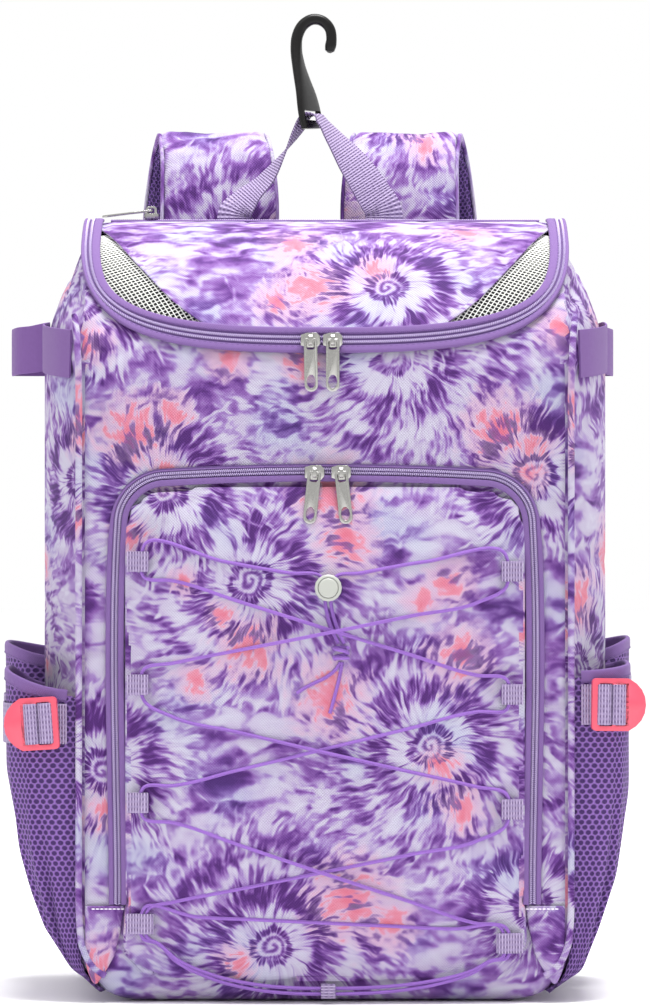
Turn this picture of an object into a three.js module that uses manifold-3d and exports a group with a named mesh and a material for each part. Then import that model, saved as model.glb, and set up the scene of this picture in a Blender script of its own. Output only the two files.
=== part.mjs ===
// A baseball bat backpack: a hooded soft bag with a zipped lid, a laced front pocket, bottle pockets and
// bat sleeves on both sides, shoulder straps, and a grab handle that carries a fence hook.
// Millimetres, +Z up, the front faces -Y, and the origin is the middle of the flat base.

import * as THREE from 'three';
import { mergeVertices } from 'three/addons/utils/BufferGeometryUtils.js';
import Module from 'manifold-3d';

// Driving dimensions of the bag
const BAG_DEPTH = 200;
const FRONT_HALF_WIDTH = 150;
const BACK_HALF_WIDTH = 147;
const SIDE_HALF_WIDTH = 176;
const HOOD_DEPTH = 140;
const HOOD_START = 388;
const HOOD_RISE = 99;
const BAG_TOP = HOOD_START + HOOD_RISE;
const SHOULDER_DROP = 75;
const CORNER_WIDTH = 24;
const CORNER_HEIGHT = 30;
const CORNER_EXTRA_WIDTH = 42;
const CORNER_EXTRA_HEIGHT = 75;
const EDGE_ROUND = 16;
const CLOTH = 3;
const GAP = 0.3;

// Lid, its zip and its net corners
const LID_HALF_WIDTH = 145;
const LID_FRONT_Z = 410.5;
const LID_SEAM = 0.15;
const ZIP_BAND_HALF = 8.5;
const ZIP_TAPE = 1.9;
const COIL_HALF = 3;
const COIL_RISE = 1.2;
const NET_THICKNESS = 1.2;
const NET_PITCH = 9;
const NET_HOLE = 5.6;
const BACK_STRIP = 35;
const TOP_ZIP_DEPTH = BAG_DEPTH - BACK_STRIP;
const TOP_ZIP_HALF = 6;
const TOP_ZIP_REACH = 138;

// Front pocket and its zip
const POCKET_HALF_WIDTH = 128.5;
const POCKET_TOP = 327;
const POCKET_CORNER = 30;
const POCKET_ZIP_HALF = 7;
const POCKET_ZIP_FOOT = 61;
const POCKET_FOOT = 8;
const POCKET_FOOT_HALF_WIDTH = 136;
const POCKET_PUFF = 12;

// Side pockets and bat sleeves
const RIM_BINDING = 8;
const MESH_WALL = 2;
const BINDING_WALL = 3.2;
const POCKET_BASE = 6;
const LEFT_OUTLINE = [
  // height, how far out the side pockets stand
  [0, 130], [8, 137], [20, 156], [45, 171], [95, 188], [144, 196.5], [240, 198],
];
const RIGHT_OUTLINE = [
  // height, how far out the side pockets stand
  [0, 142], [8, 148], [20, 158], [45, 168], [76, 178], [130, 187], [240, 188.5],
];
const bottle = { start: 2, end: 100, spread: 1.0125, square: 0.5 };
const sleeve = { start: 104, end: 192, spread: 1.037, square: 0.6 };
const BOTTLE = {
  left: { ...bottle, outline: LEFT_OUTLINE, frontRim: 194, crown: 13 },
  right: { ...bottle, outline: RIGHT_OUTLINE, frontRim: 206, crown: 4 },
};
const SLEEVE = {
  left: { ...sleeve, outline: LEFT_OUTLINE, frontRim: 211, crown: 8 },
  right: { ...sleeve, outline: RIGHT_OUTLINE, frontRim: 215, crown: 7 },
};

// Webbing, bands and buckles
const WEBBING_WIDTH = 25;
const WEBBING = 1.4;
const SIDE_STRAP_Z = { left: 173, right: 185 };
const BAT_BAND_HEIGHT = 30;
const BAT_BAND_Z = 402;
const BAT_BAND_CREASE = 6;
const BAT_LOOP_REACH = { left: 199, right: 183 };
const BUCKLE = { width: 34, height: 32.5, thick: 4, slot: 26.4, slotWidth: 8, bar: 2.4, shift: -3.2 };
const BUCKLE_FRONT = { left: 0.9, right: -0.2 };
const PIPING_RADIUS = 2;

// Shoulder straps and grab handle
const STRAP_OFFSET = -10;
const STRAP_SPREAD = 59;
const STRAP_WIDTH = 78;
const STRAP_PAD = 11;
const BACK_PAD = 5;
const HANDLE_DEPTH = (TOP_ZIP_DEPTH + TOP_ZIP_HALF + BAG_DEPTH - 1) / 2;
const HOOK_X = -8;

// Lacing
const CORD_RADIUS = 1.5;
const LOOP_HEIGHT = 12.5;
const LOOP_EYE_X = 112;
const LOOP_EYE = 1.9;
const LOOP_WALL = 1.1;
const LOCK = { x: 2, z: 258, radius: 8.4, button: 6.2, thick: 5, travel: 1.2 };
const KNOT = { x: 10, z: 217 };

const wasm = await Module();
wasm.setup();

const vec = (x, y, z) => new THREE.Vector3(x, y, z);
const mix = THREE.MathUtils.lerp;
const rad = THREE.MathUtils.degToRad;
const yAt = (depth) => depth - BAG_DEPTH / 2;
const steps = (n) => Array.from({ length: n + 1 }, (_, i) => i / n);

// Value at u of a table of [u, value] rows, joined by straight lines.
function lookUp(rows, u) {
  const i = Math.max(1, rows.findIndex((row) => row[0] >= u));
  const [u0, v0] = rows[i - 1];
  const [u1, v1] = rows[i];
  return mix(v0, v1, THREE.MathUtils.clamp((u - u0) / (u1 - u0), 0, 1));
}

// Solids and booleans
function solidOf(geometry) {
  const bare = geometry.index ? geometry.toNonIndexed() : geometry.clone();
  bare.deleteAttribute('normal');
  bare.deleteAttribute('uv');
  const merged = mergeVertices(bare, 1e-4);
  const mesh = { numProp: 3, vertProperties: merged.attributes.position.array };
  return new wasm.Manifold(new wasm.Mesh({ ...mesh, triVerts: new Uint32Array(merged.index.array) }));
}

function geometryOf(solid) {
  const mesh = solid.getMesh();
  return new THREE.BufferGeometry()
    .setAttribute('position', new THREE.BufferAttribute(mesh.vertProperties, 3))
    .setIndex(new THREE.BufferAttribute(mesh.triVerts, 1));
}

function signedVolume(points, faces) {
  return faces.reduce((sum, [a, b, c]) => sum + points[a].dot(points[b].clone().cross(points[c])), 0) / 6;
}

// The triangles that fill a ring from its first point to its last, each point joined to its partner.
function fillRing(count) {
  return steps(count / 2 - 1).slice(1).flatMap((_, i) =>
    [[i, i + 1, count - 2 - i], [i, count - 2 - i, count - 1 - i]]);
}

// A closed solid through rings of points, turned so that its faces point out.
function loft(rings) {
  const count = rings[0].length;
  const points = rings.flat();
  const end = points.length - count;
  const faces = [];
  for (let row = 0; row < end; row += count) {
    for (let i = 0; i < count; i++) {
      const a = row + i;
      const b = row + (i + 1) % count;
      faces.push([a, b, b + count], [a, b + count, a + count]);
    }
  }
  for (const [a, b, c] of fillRing(count)) faces.push([a, c, b], [a + end, b + end, c + end]);
  const out = signedVolume(points, faces) > 0 ? faces : faces.map(([a, b, c]) => [a, c, b]);
  return new THREE.BufferGeometry().setFromPoints(points).setIndex(out.flat());
}

// An outline in x and z, pushed along y; and one in x and y, pushed along z.
function frontPrism(shape, yFrom, yTo, curveSegments = 6) {
  const made = new THREE.ExtrudeGeometry(shape, { depth: yTo - yFrom, bevelEnabled: false, curveSegments });
  return made.rotateX(Math.PI / 2).translate(0, yTo, 0);
}

function planPrism(shape, zFrom, zTo, curveSegments = 6) {
  const made = new THREE.ExtrudeGeometry(shape, { depth: zTo - zFrom, bevelEnabled: false, curveSegments });
  return made.translate(0, 0, zFrom);
}

// A flat strip through stations of { at, across, out }: across is its half width and out its face.
function strip(stations, thickness) {
  return loft(stations.map(({ at, across, out }) => {
    const lift = out.clone().setLength(thickness / 2);
    return [[1, 1], [-1, 1], [-1, -1], [1, -1]].map(([side, face]) =>
      at.clone().addScaledVector(across, side).addScaledVector(lift, face));
  }));
}

// A list of points as a path whose steps fall on the points themselves.
class PointPath extends THREE.Curve {
  constructor(points) {
    super();
    this.points = points;
  }
  getPoint(t, target = vec()) {
    const last = this.points.length - 1;
    const i = Math.min(last - 1, Math.floor(t * last));
    return target.lerpVectors(this.points[i], this.points[i + 1], t * last - i);
  }
  getPointAt(t, target) {
    return this.getPoint(t, target);
  }
  getTangentAt(t, target = vec()) {
    const last = this.points.length - 1;
    const i = Math.round(t * last);
    const from = this.points[Math.max(0, i - 1)];
    return target.copy(this.points[Math.min(last, i + 1)]).sub(from).normalize();
  }
}

function tube(points, radius, sides) {
  const ring = new THREE.Shape(steps(sides).slice(0, sides).map((u) =>
    new THREE.Vector2(radius * Math.cos(u * 2 * Math.PI), radius * Math.sin(u * 2 * Math.PI))));
  const extrudePath = new PointPath(points);
  return new THREE.ExtrudeGeometry(ring, { steps: points.length - 1, extrudePath, bevelEnabled: false });
}

// The bag's plan: it swells behind the front panel and draws in again where a bat stands beside it.
const SIDE_PLAN = [
  // share of the depth, share of the swell
  [0, 0.03], [0.08, 0.45], [0.18, 0.76], [0.3, 0.97], [0.4, 1], [0.49, 0.9], [0.57, 0.55], [0.63, 0.22],
  [0.7, 0.06], [0.82, 0.01], [1, 0],
];
const swell = (depth) => lookUp(SIDE_PLAN, THREE.MathUtils.clamp(depth / BAG_DEPTH, 0, 1));

function halfWidth(depth) {
  const edge = mix(FRONT_HALF_WIDTH, BACK_HALF_WIDTH, THREE.MathUtils.clamp(depth / HOOD_DEPTH, 0, 1));
  return edge + (SIDE_HALF_WIDTH - edge) * swell(depth);
}

// The bag's side at a depth and height, below the shoulder.
function sideX(depth, z) {
  const s = swell(depth);
  const cornerWidth = CORNER_WIDTH + CORNER_EXTRA_WIDTH * s;
  const cornerHeight = CORNER_HEIGHT + CORNER_EXTRA_HEIGHT * s;
  const low = THREE.MathUtils.clamp(1 - z / cornerHeight, 0, 1);
  return halfWidth(depth) - cornerWidth * (1 - Math.sqrt(1 - low * low));
}

// The shoulder's slope: shares of its width and of its drop, from the side up to the top.
const SHOULDER = [[1, 1], [0.94, 0.82], [0.68, 0.62], [0.3, 0.34], [0, 0]];

// One upright section of the form, pulled in by inset all round, as a ring of points.
function formRing(depth, top, inset) {
  const share = (depth - inset) / (BAG_DEPTH - 2 * inset);
  const s = swell(share * BAG_DEPTH);
  const half = halfWidth(share * BAG_DEPTH) - inset;
  const cornerWidth = CORNER_WIDTH + CORNER_EXTRA_WIDTH * s - inset;
  const cornerHeight = CORNER_HEIGHT + CORNER_EXTRA_HEIGHT * s - inset;
  const round = EDGE_ROUND - inset;
  const fromEnd = Math.max(0, Math.min(depth, BAG_DEPTH - depth) - inset);
  const lift = fromEnd < round ? round - Math.sqrt(round ** 2 - (round - fromEnd) ** 2) : 0;
  const bottom = inset + lift;
  const crest = top - (BAG_DEPTH - depth - inset < round ? lift * 0.4 : 0);
  const drop = SHOULDER_DROP * s;
  const right = [];
  for (const u of steps(4)) {
    const a = u * Math.PI / 2;
    right.push([half - cornerWidth * (1 - Math.sin(a)), bottom + cornerHeight * (1 - Math.cos(a))]);
  }
  const edge = Math.min(FRONT_HALF_WIDTH - inset, half);
  for (const [out, down] of SHOULDER) right.push([mix(edge, half, out), crest - drop * down]);
  const left = right.map(([x, z]) => [-x, z]).reverse();
  return [...right, ...left].map(([x, z]) => vec(x, yAt(depth), z));
}

function bagForm(inset) {
  const rings = steps(9).map((u) => {
    const a = u * Math.PI / 2;
    const depth = HOOD_DEPTH - (HOOD_DEPTH - inset) * Math.cos(a);
    return formRing(depth, HOOD_START + (HOOD_RISE - inset) * Math.sin(a), inset);
  });
  const span = BAG_DEPTH - inset - HOOD_DEPTH;
  for (const share of [0.4, 0.74, 0.92, 1]) {
    rings.push(formRing(HOOD_DEPTH + span * share, HOOD_START + HOOD_RISE - inset, inset));
  }
  return solidOf(loft(rings));
}

// The layer between two insets of the form, such as a wall or something laid on it.
const layer = (outside, inside) => bagForm(outside).subtract(bagForm(inside));

// The lid's outline seen from the front, grown outwards all round.
function lidOutline(grow) {
  const half = LID_HALF_WIDTH + grow;
  const foot = LID_FRONT_Z - grow;
  const high = BAG_TOP + 40;
  const shape = new THREE.Shape().moveTo(half, high).lineTo(-half, high).lineTo(-half, foot + 62 + grow);
  shape.bezierCurveTo(-half, foot + 7, -100 - grow / 2, foot, 0, foot);
  shape.bezierCurveTo(100 + grow / 2, foot, half, foot + 7, half, foot + 62 + grow);
  return shape;
}

function lidPrism(grow, back = HOOD_DEPTH) {
  return solidOf(frontPrism(lidOutline(grow), yAt(-40), yAt(back), 8));
}

// The corner of the lid that is net: below a curve from the lid's back corner to its front edge.
function ventPrism(side, shrink) {
  const curve = new THREE.SplineCurve([[141, 478], [122, 456], [106, 442.5], [88, 430.5], [62, 414]]
    .map(([x, z]) => new THREE.Vector2(x * side, z - shrink)));
  const shape = new THREE.Shape(curve.getPoints(6));
  shape.lineTo(62 * side, 380).lineTo(170 * side, 380).lineTo(170 * side, 478 - shrink);
  return solidOf(frontPrism(shape, yAt(-40), yAt(HOOD_DEPTH - 10)));
}

// Square holes in rows, each kept only where the whole of it falls within the net.
function netHoles(side) {
  const field = ventPrism(side, 5).intersect(lidPrism(-ZIP_BAND_HALF - 3.5));
  const full = NET_HOLE ** 2 * (HOOD_DEPTH + 30);
  const holes = [];
  for (let row = 0; row < 6; row++) {
    for (let column = 0; column < 8; column++) {
      const x = side * (130 - NET_PITCH * (column + (row % 2) / 2));
      const box = new THREE.BoxGeometry(NET_HOLE, 3 * BAG_DEPTH, NET_HOLE);
      const hole = solidOf(box.translate(x, 0, 426 + NET_PITCH * row * 0.9));
      if (field.intersect(hole).volume() > full * 0.98) holes.push(hole);
    }
  }
  return holes;
}

// The front pocket's outline: an arch whose feet spread below the zip.
function pocketOutline(inset) {
  const half = POCKET_HALF_WIDTH - inset;
  const round = POCKET_CORNER - inset;
  const top = POCKET_TOP - inset;
  const shape = new THREE.Shape().moveTo(-POCKET_FOOT_HALF_WIDTH, POCKET_FOOT);
  shape.lineTo(POCKET_FOOT_HALF_WIDTH, POCKET_FOOT).lineTo(half, POCKET_ZIP_FOOT).lineTo(half, top - round);
  shape.absarc(half - round, top - round, round, 0, Math.PI / 2);
  shape.absarc(round - half, top - round, round, Math.PI / 2, Math.PI);
  return shape.lineTo(-half, POCKET_ZIP_FOOT);
}

// How far the face of the front pocket stands in front of the bag, at x and z.
function pocketFace(x, z) {
  const half = POCKET_FOOT_HALF_WIDTH;
  const middle = (POCKET_TOP + POCKET_FOOT) / 2;
  const tall = (POCKET_TOP - POCKET_FOOT) / 2;
  const across = 1 - Math.min(1, Math.abs(x) / half) ** 3;
  const up = 1 - Math.min(1, Math.abs(z - middle) / tall) ** 3;
  return yAt(0) - GAP - CLOTH - POCKET_PUFF * across * up;
}

function frontPocket() {
  const rings = steps(9).map((v) => {
    const z = mix(POCKET_FOOT - 2, POCKET_TOP + 2, v);
    const row = steps(9).map((u) => mix(-POCKET_FOOT_HALF_WIDTH - 2, POCKET_FOOT_HALF_WIDTH + 2, u));
    const face = row.map((x) => vec(x, pocketFace(x, z), z));
    const back = row.map((x) => vec(x, pocketFace(x, z) + CLOTH, z)).reverse();
    return [...face, ...back];
  });
  const edge = solidOf(frontPrism(pocketOutline(POCKET_ZIP_HALF + GAP), yAt(-60), yAt(20), 5));
  return solidOf(loft(rings)).intersect(edge);
}

// Zip tape round the pocket, with the coil raised along its outer half.
function pocketZip() {
  const arch = (inset, yFrom, yTo) => solidOf(frontPrism(pocketOutline(inset), yFrom, yTo, 5));
  const front = yAt(0) - GAP;
  const above = new THREE.BoxGeometry(500, 100, 500).translate(0, yAt(0), POCKET_ZIP_FOOT + 250);
  const tape = arch(-POCKET_ZIP_HALF, front - ZIP_TAPE, front)
    .subtract(arch(POCKET_ZIP_HALF, front - 20, front + 20));
  const coil = arch(-1 - COIL_HALF, front - ZIP_TAPE - COIL_RISE, front - 0.5)
    .subtract(arch(COIL_HALF - 1, front - 20, front + 20));
  return tape.add(coil).intersect(solidOf(above));
}

// The patch below each end of the pocket zip, where the pocket folds open.
function pocketGusset(side) {
  const shape = new THREE.Shape();
  const edge = POCKET_HALF_WIDTH - POCKET_ZIP_HALF;
  shape.moveTo(side * (edge + 1.5), POCKET_ZIP_FOOT - GAP).lineTo(side * 146, POCKET_ZIP_FOOT - GAP);
  shape.lineTo(side * 146, 44).quadraticCurveTo(side * 145, 30, side * 140, 25);
  shape.lineTo(side * (POCKET_FOOT_HALF_WIDTH - 2), 27);
  return frontPrism(shape, yAt(0) - GAP - CLOTH * 0.8, yAt(0) - GAP, 4);
}

// A side pocket wall seen from above: out from the bag, along it and back to it.
function pocketPlan(pocket, around, z, lift) {
  const a = around * Math.PI;
  const middle = (pocket.start + pocket.end) / 2;
  const half = (pocket.end - pocket.start) / 2;
  const depth = middle - half * Math.sign(Math.cos(a)) * Math.abs(Math.cos(a)) ** pocket.square;
  const near = sideX(depth, z) + GAP + MESH_WALL;
  const far = Math.max(near, lookUp(pocket.outline, z) * pocket.spread);
  const x = mix(near, far, Math.sin(a) ** pocket.square);
  return new THREE.Vector2(x + lift * Math.sin(a), depth - lift * Math.cos(a));
}

const rimHeight = (pocket, around) => pocket.frontRim + pocket.crown * Math.sin(around * Math.PI);

function pocketWall(side, pocket, low, high, thickness, lift, rows) {
  const around = steps(12).map((u) => mix(0.005, 0.995, u));
  const rings = around.map((here, i) => {
    const wall = rows.map((v) => {
      const z = mix(low(here), high(here), v);
      const outer = pocketPlan(pocket, here, z, lift);
      const along = pocketPlan(pocket, around[Math.min(i + 1, 12)], z, lift)
        .sub(pocketPlan(pocket, around[Math.max(i - 1, 0)], z, lift)).setLength(thickness);
      return { z, outer, inner: new THREE.Vector2(outer.x - along.y, outer.y + along.x) };
    });
    const outside = wall.map(({ z, outer }) => vec(side * outer.x, yAt(outer.y), z));
    const inside = wall.map(({ z, inner }) => vec(side * inner.x, yAt(inner.y), z));
    return [...outside, ...inside.reverse()];
  });
  return loft(rings);
}

const POCKET_ROWS = [0, 0.04, 0.1, 0.2, 0.35, 0.6, 1];
const pocketMesh = (side, pocket) => pocketWall(side, pocket, () => POCKET_BASE,
  (around) => rimHeight(pocket, around) - RIM_BINDING - 5 * GAP, MESH_WALL, 0, POCKET_ROWS);

const pocketBinding = (side, pocket) => pocketWall(side, pocket,
  (around) => rimHeight(pocket, around) - RIM_BINDING,
  (around) => rimHeight(pocket, around), BINDING_WALL, (BINDING_WALL - MESH_WALL) / 2, [0, 1]);

// A band of webbing on edge, through [x, depth, z] stations seen from above.
function standingBand(side, rows, height, thickness) {
  const at = rows.map(([x, depth, z]) => vec(side * x, yAt(depth), z));
  return strip(at.map((point, i) => {
    const along = at[Math.min(i + 1, at.length - 1)].clone().sub(at[Math.max(i - 1, 0)]);
    const out = vec(along.y, -along.x, 0);
    return { at: point, across: vec(0, 0, height / 2), out };
  }), thickness);
}

// The strap that tightens the side pockets: over the bottle pocket, round the bat sleeve, to the back.
function sideStrap(name, side) {
  const off = 1.8 * GAP + WEBBING / 2;
  const z = SIDE_STRAP_Z[name];
  const at = (pocket, i) => pocketPlan(pocket[name], mix(0.005, 0.995, i / 12), z, off);
  const over = [0, 1, 2, 3, 4, 5, 6].map((i) => at(BOTTLE, i));
  const round = [4, 5, 6, 7, 8, 9, 10, 11].map((i) => at(SLEEVE, i));
  const last = new THREE.Vector2(sideX(197, z) + off + 1.2, 195);
  const rows = [...over, ...round, last].map((p) => [p.x, p.y, z]);
  return standingBand(side, rows, WEBBING_WIDTH, WEBBING);
}

// The upper band: along the bag's side, then in a loop that holds a bat upright.
function batLoop(name, side) {
  const off = GAP + WEBBING / 2 + 0.6;
  const against = [8.5, 20, 38, 58, 78, 94].map((depth) =>
    [sideX(depth, BAT_BAND_Z) + off, depth, BAT_BAND_Z + BAT_BAND_CREASE * depth / 94]);
  const reach = BAT_LOOP_REACH[name];
  const loop = [[-14, 101, 4], [-4, 111, 3], [0, 124, 2], [0, 146, 2], [-4, 160, 2], [-13, 172, 2],
    [-27, 181, 2]].map(([out, depth, rise]) =>
    [Math.max(reach + out, sideX(depth, BAT_BAND_Z) + off), depth, BAT_BAND_Z + rise]);
  const end = [sideX(188, BAT_BAND_Z) + off, 188, BAT_BAND_Z + 2];
  return standingBand(side, [...against, ...loop, end], BAT_BAND_HEIGHT, WEBBING);
}

// A ladder lock: a plate with two slots and a rounded thumb end on its outer side.
function buckle(side) {
  const { width, height, thick, slot, slotWidth, bar, shift } = BUCKLE;
  const shape = new THREE.Shape().moveTo(-width / 2 + 3, -height / 2).lineTo(width * 0.18, -height / 2);
  shape.quadraticCurveTo(width / 2, -height / 3, width / 2, 0);
  shape.quadraticCurveTo(width / 2, height / 3, width * 0.18, height / 2).lineTo(-width / 2 + 3, height / 2);
  shape.quadraticCurveTo(-width / 2, height / 2, -width / 2, height / 2 - 3);
  shape.lineTo(-width / 2, 3 - height / 2).quadraticCurveTo(-width / 2, -height / 2, 3 - width / 2, -height / 2);
  const made = new THREE.ExtrudeGeometry(shape, { depth: thick, bevelEnabled: false, curveSegments: 4 });
  let plate = solidOf(made.rotateX(Math.PI / 2).translate(0, thick / 2, 0));
  for (const place of [-1, 1]) {
    const hole = new THREE.BoxGeometry(slotWidth, thick * 2, slot);
    plate = plate.subtract(solidOf(hole.translate(shift + place * (bar + slotWidth) / 2, 0, 0)));
  }
  return side > 0 ? plate : plate.rotate([0, 0, 180]);
}

// Piping down one front edge, from the lid zip to the base.
function piping(side) {
  const off = (PIPING_RADIUS + GAP + 0.2) * Math.SQRT1_2;
  const points = [];
  for (const u of steps(4)) {
    const a = mix(20, 90, u) * Math.PI / 180;
    const x = FRONT_HALF_WIDTH - CORNER_WIDTH * (1 - Math.sin(a)) + off;
    points.push(vec(side * x, yAt(0) - off, EDGE_ROUND - off / 2 + CORNER_HEIGHT * (1 - Math.cos(a))));
  }
  for (const u of steps(5)) {
    points.push(vec(side * (FRONT_HALF_WIDTH + 0.8 + off), yAt(0) - off, mix(90, HOOD_START - 6, u)));
  }
  for (const turn of [6, 12, 18, 23]) {
    const a = rad(turn);
    const depth = HOOD_DEPTH * (1 - Math.cos(a));
    const x = mix(FRONT_HALF_WIDTH, halfWidth(depth), 0.35) + 0.8 + off;
    points.push(vec(side * x, yAt(depth) - off - 1, HOOD_START + HOOD_RISE * Math.sin(a)));
  }
  return tube(points, PIPING_RADIUS, 6);
}

// A padded strap: rounded flat sections along a path over the bag's top edge and down its back.
const STRAP_OVER = [
  // out from the back panel, rise above the bag's top, outward flare, width share
  [6, -35, 0, 1], [7, -11, 0, 1], [12, 21, 0, 0.99], [22, 47, 2, 0.95], [38, 58, 5, 0.93],
  [54, 47, 8, 0.95], [64, 19, 11, 1], [74, -37, 15, 1],
];
const STRAP_DOWN = [
  // out from the back panel, height, outward flare, width share
  [83, 380, 18, 1], [84, 310, 22, 0.98], [75, 245, 28, 0.9], [60, 196, 34, 0.72], [52, 176, 38, 0.5],
];
const STRAP_PATH = STRAP_OVER.map(([out, rise, ...rest]) => [out, BAG_TOP + rise, ...rest]).concat(STRAP_DOWN);

function strapStations(side) {
  const at = STRAP_PATH.map(([out, z, flare]) =>
    vec(STRAP_OFFSET + side * (STRAP_SPREAD + flare), yAt(BAG_DEPTH) + GAP + BACK_PAD + out, z));
  return at.map((point, i) => {
    const along = at[Math.min(i + 1, at.length - 1)].clone().sub(at[Math.max(i - 1, 0)]).normalize();
    const across = vec(1, 0, 0).addScaledVector(along, -along.x).normalize();
    return { point, across, out: across.clone().cross(along), width: STRAP_PATH[i][3] * STRAP_WIDTH };
  });
}

const PAD_SECTION = [[0.5, 0], [0.47, 0.36], [0.36, 0.5], [-0.36, 0.5], [-0.47, 0.36],
  [-0.5, 0], [-0.47, -0.36], [-0.36, -0.5], [0.36, -0.5], [0.47, -0.36]];

function shoulderStrap(side) {
  const pad = loft(strapStations(side).map(({ point, across, out, width }) =>
    PAD_SECTION.map(([a, b]) =>
      point.clone().addScaledVector(across, a * width).addScaledVector(out, b * STRAP_PAD))));
  const hem = webbingFall(side, [[38, 51, 180], [38, 49, 172], [38, 48.2, 169], [38, 48.8, 167],
    [38, 52, 165.9], [38, 55.2, 167], [38, 55.8, 169.4]]);
  return solidOf(pad).add(solidOf(hem));
}

// Webbing in front of the back panel, through rows of outward flare, distance from the panel and height.
function webbingFall(side, points) {
  const foot = yAt(BAG_DEPTH) + GAP + BACK_PAD;
  return strip(points.map(([flare, out, z], i) => {
    const next = points[Math.min(i + 1, points.length - 1)];
    const before = points[Math.max(i - 1, 0)];
    const along = vec(side * (next[0] - before[0]), next[1] - before[1], next[2] - before[2]).normalize();
    const across = vec(1, 0, 0).addScaledVector(along, -along.x).setLength(WEBBING_WIDTH / 2);
    const at = vec(STRAP_OFFSET + side * (STRAP_SPREAD + flare), foot + out, z);
    return { at, across, out: across.clone().cross(along) };
  }), WEBBING);
}

// The webbing below the pad: a loose end, the turn through the adjuster, and the fall to the bag's corner.
const strapTail = (side) => webbingFall(side, [[38, 58.5, 112], [38, 57, 148], [38, 55.8, 156.5],
  [38, 55.2, 159.2], [38, 52, 160.2], [38, 48.8, 159.2], [38, 48.2, 156.5], [39, 46.5, 148], [46, 42, 125],
  [62, 26, 84], [74, 9, 44], [78, 2.6, 32]]);

// The adjuster between pad and webbing: a three-bar slide.
function adjuster() {
  const hole = (z) => solidOf(new THREE.BoxGeometry(28, 10, 3.8).translate(0, 0, z));
  return solidOf(new THREE.BoxGeometry(36, 4, 14)).subtract(hole(3.4)).subtract(hole(-3.4));
}

// The grab handle: webbing that turns edge-on where it passes through the hook.
const HANDLE_PATH = [
  // x, height above the bag's top, quarter turns of the webbing
  [-58, 0.8, 0.05], [-58, 7, 0.12], [-51, 17, 0.3], [-38, 30, 0.5], [-27, 46, 0.75], [-18, 61, 0.95],
  [-14, 67.6, 1], [-11.4, 70.8, 1], [-8, 71.6, 1], [-4.6, 70.8, 1], [-2, 67.6, 1], [5, 58, 0.8],
  [17, 42, 0.4], [31, 21, 0.15], [38, 8, 0.05], [38, 0.8, 0.05],
];

function grabHandle() {
  const at = HANDLE_PATH.map(([x, rise]) => vec(x, yAt(HANDLE_DEPTH), BAG_TOP + rise));
  return strip(at.map((point, i) => {
    const along = at[Math.min(i + 1, at.length - 1)].clone().sub(at[Math.max(i - 1, 0)]).normalize();
    const turn = rad(12 + 60 * HANDLE_PATH[i][2]);
    const across = vec(Math.cos(turn), Math.sin(turn), 0);
    across.addScaledVector(along, -across.dot(along)).setLength(WEBBING_WIDTH / 2);
    return { at: point, across, out: across.clone().cross(along) };
  }), WEBBING);
}

// The fence hook: a crook that widens and turns into a paddle with a slot for the handle.
const HOOK_PATH = [
  // x from the slot, height above the slot's foot, thickness, breadth, turn of the breadth in degrees
  [11, 46, 4.4, 4.4, 90], [11.4, 48, 6.4, 6.4, 90], [12.2, 54, 6.8, 6.8, 90], [11, 60.5, 6.8, 6.8, 90],
  [6, 65.5, 7, 7, 90], [0, 66.4, 7.2, 7.2, 90], [-6, 63, 7.4, 7.6, 90], [-9.8, 56, 7.4, 8.4, 88],
  [-10.6, 47, 7.2, 10, 84], [-9, 37, 6.8, 14, 80], [-6, 27, 6.6, 20, 76], [-3, 18, 6.4, 27, 74],
  [-0.8, 9, 6.2, 32, 72], [0, 2, 6, 34, 72], [0.4, -4.4, 5.6, 33, 72],
];

function fenceHook() {
  const foot = BAG_TOP + 67;
  const at = HOOK_PATH.map(([x, z]) => vec(HOOK_X + x, yAt(HANDLE_DEPTH), foot + z));
  const rings = at.map((point, i) => {
    const [, , thick, broad, turn] = HOOK_PATH[i];
    const along = at[Math.min(i + 1, at.length - 1)].clone().sub(at[Math.max(i - 1, 0)]).normalize();
    const across = vec(Math.cos(rad(turn)), Math.sin(rad(turn)), 0);
    across.addScaledVector(along, -across.dot(along)).normalize();
    const out = across.clone().cross(along);
    return steps(8).slice(0, 8).map((u) => {
      const a = (u + 1 / 16) * 2 * Math.PI;
      const wide = Math.sign(Math.cos(a)) * Math.abs(Math.cos(a)) ** 0.75 * broad / 2;
      const deep = Math.sign(Math.sin(a)) * Math.abs(Math.sin(a)) ** 0.75 * thick / 2;
      return point.clone().addScaledVector(across, wide).addScaledVector(out, deep);
    });
  });
  const slot = new THREE.BoxGeometry(WEBBING_WIDTH + 2.6, 24, 6.4).rotateZ(rad(72));
  slot.translate(HOOK_X, yAt(HANDLE_DEPTH), foot + 4);
  return solidOf(loft(rings)).subtract(solidOf(slot));
}

// Lace loops: a folded tab with an eye, its foot under the zip tape's edge.
const LACE_LEFT = [274, 198, 125, 50];
const LACE_RIGHT = [268, 192, 121, 38];

function loopY(z) {
  return pocketFace(LOOP_EYE_X - 4, z) - GAP - 0.4 - LOOP_EYE - LOOP_WALL;
}

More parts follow.
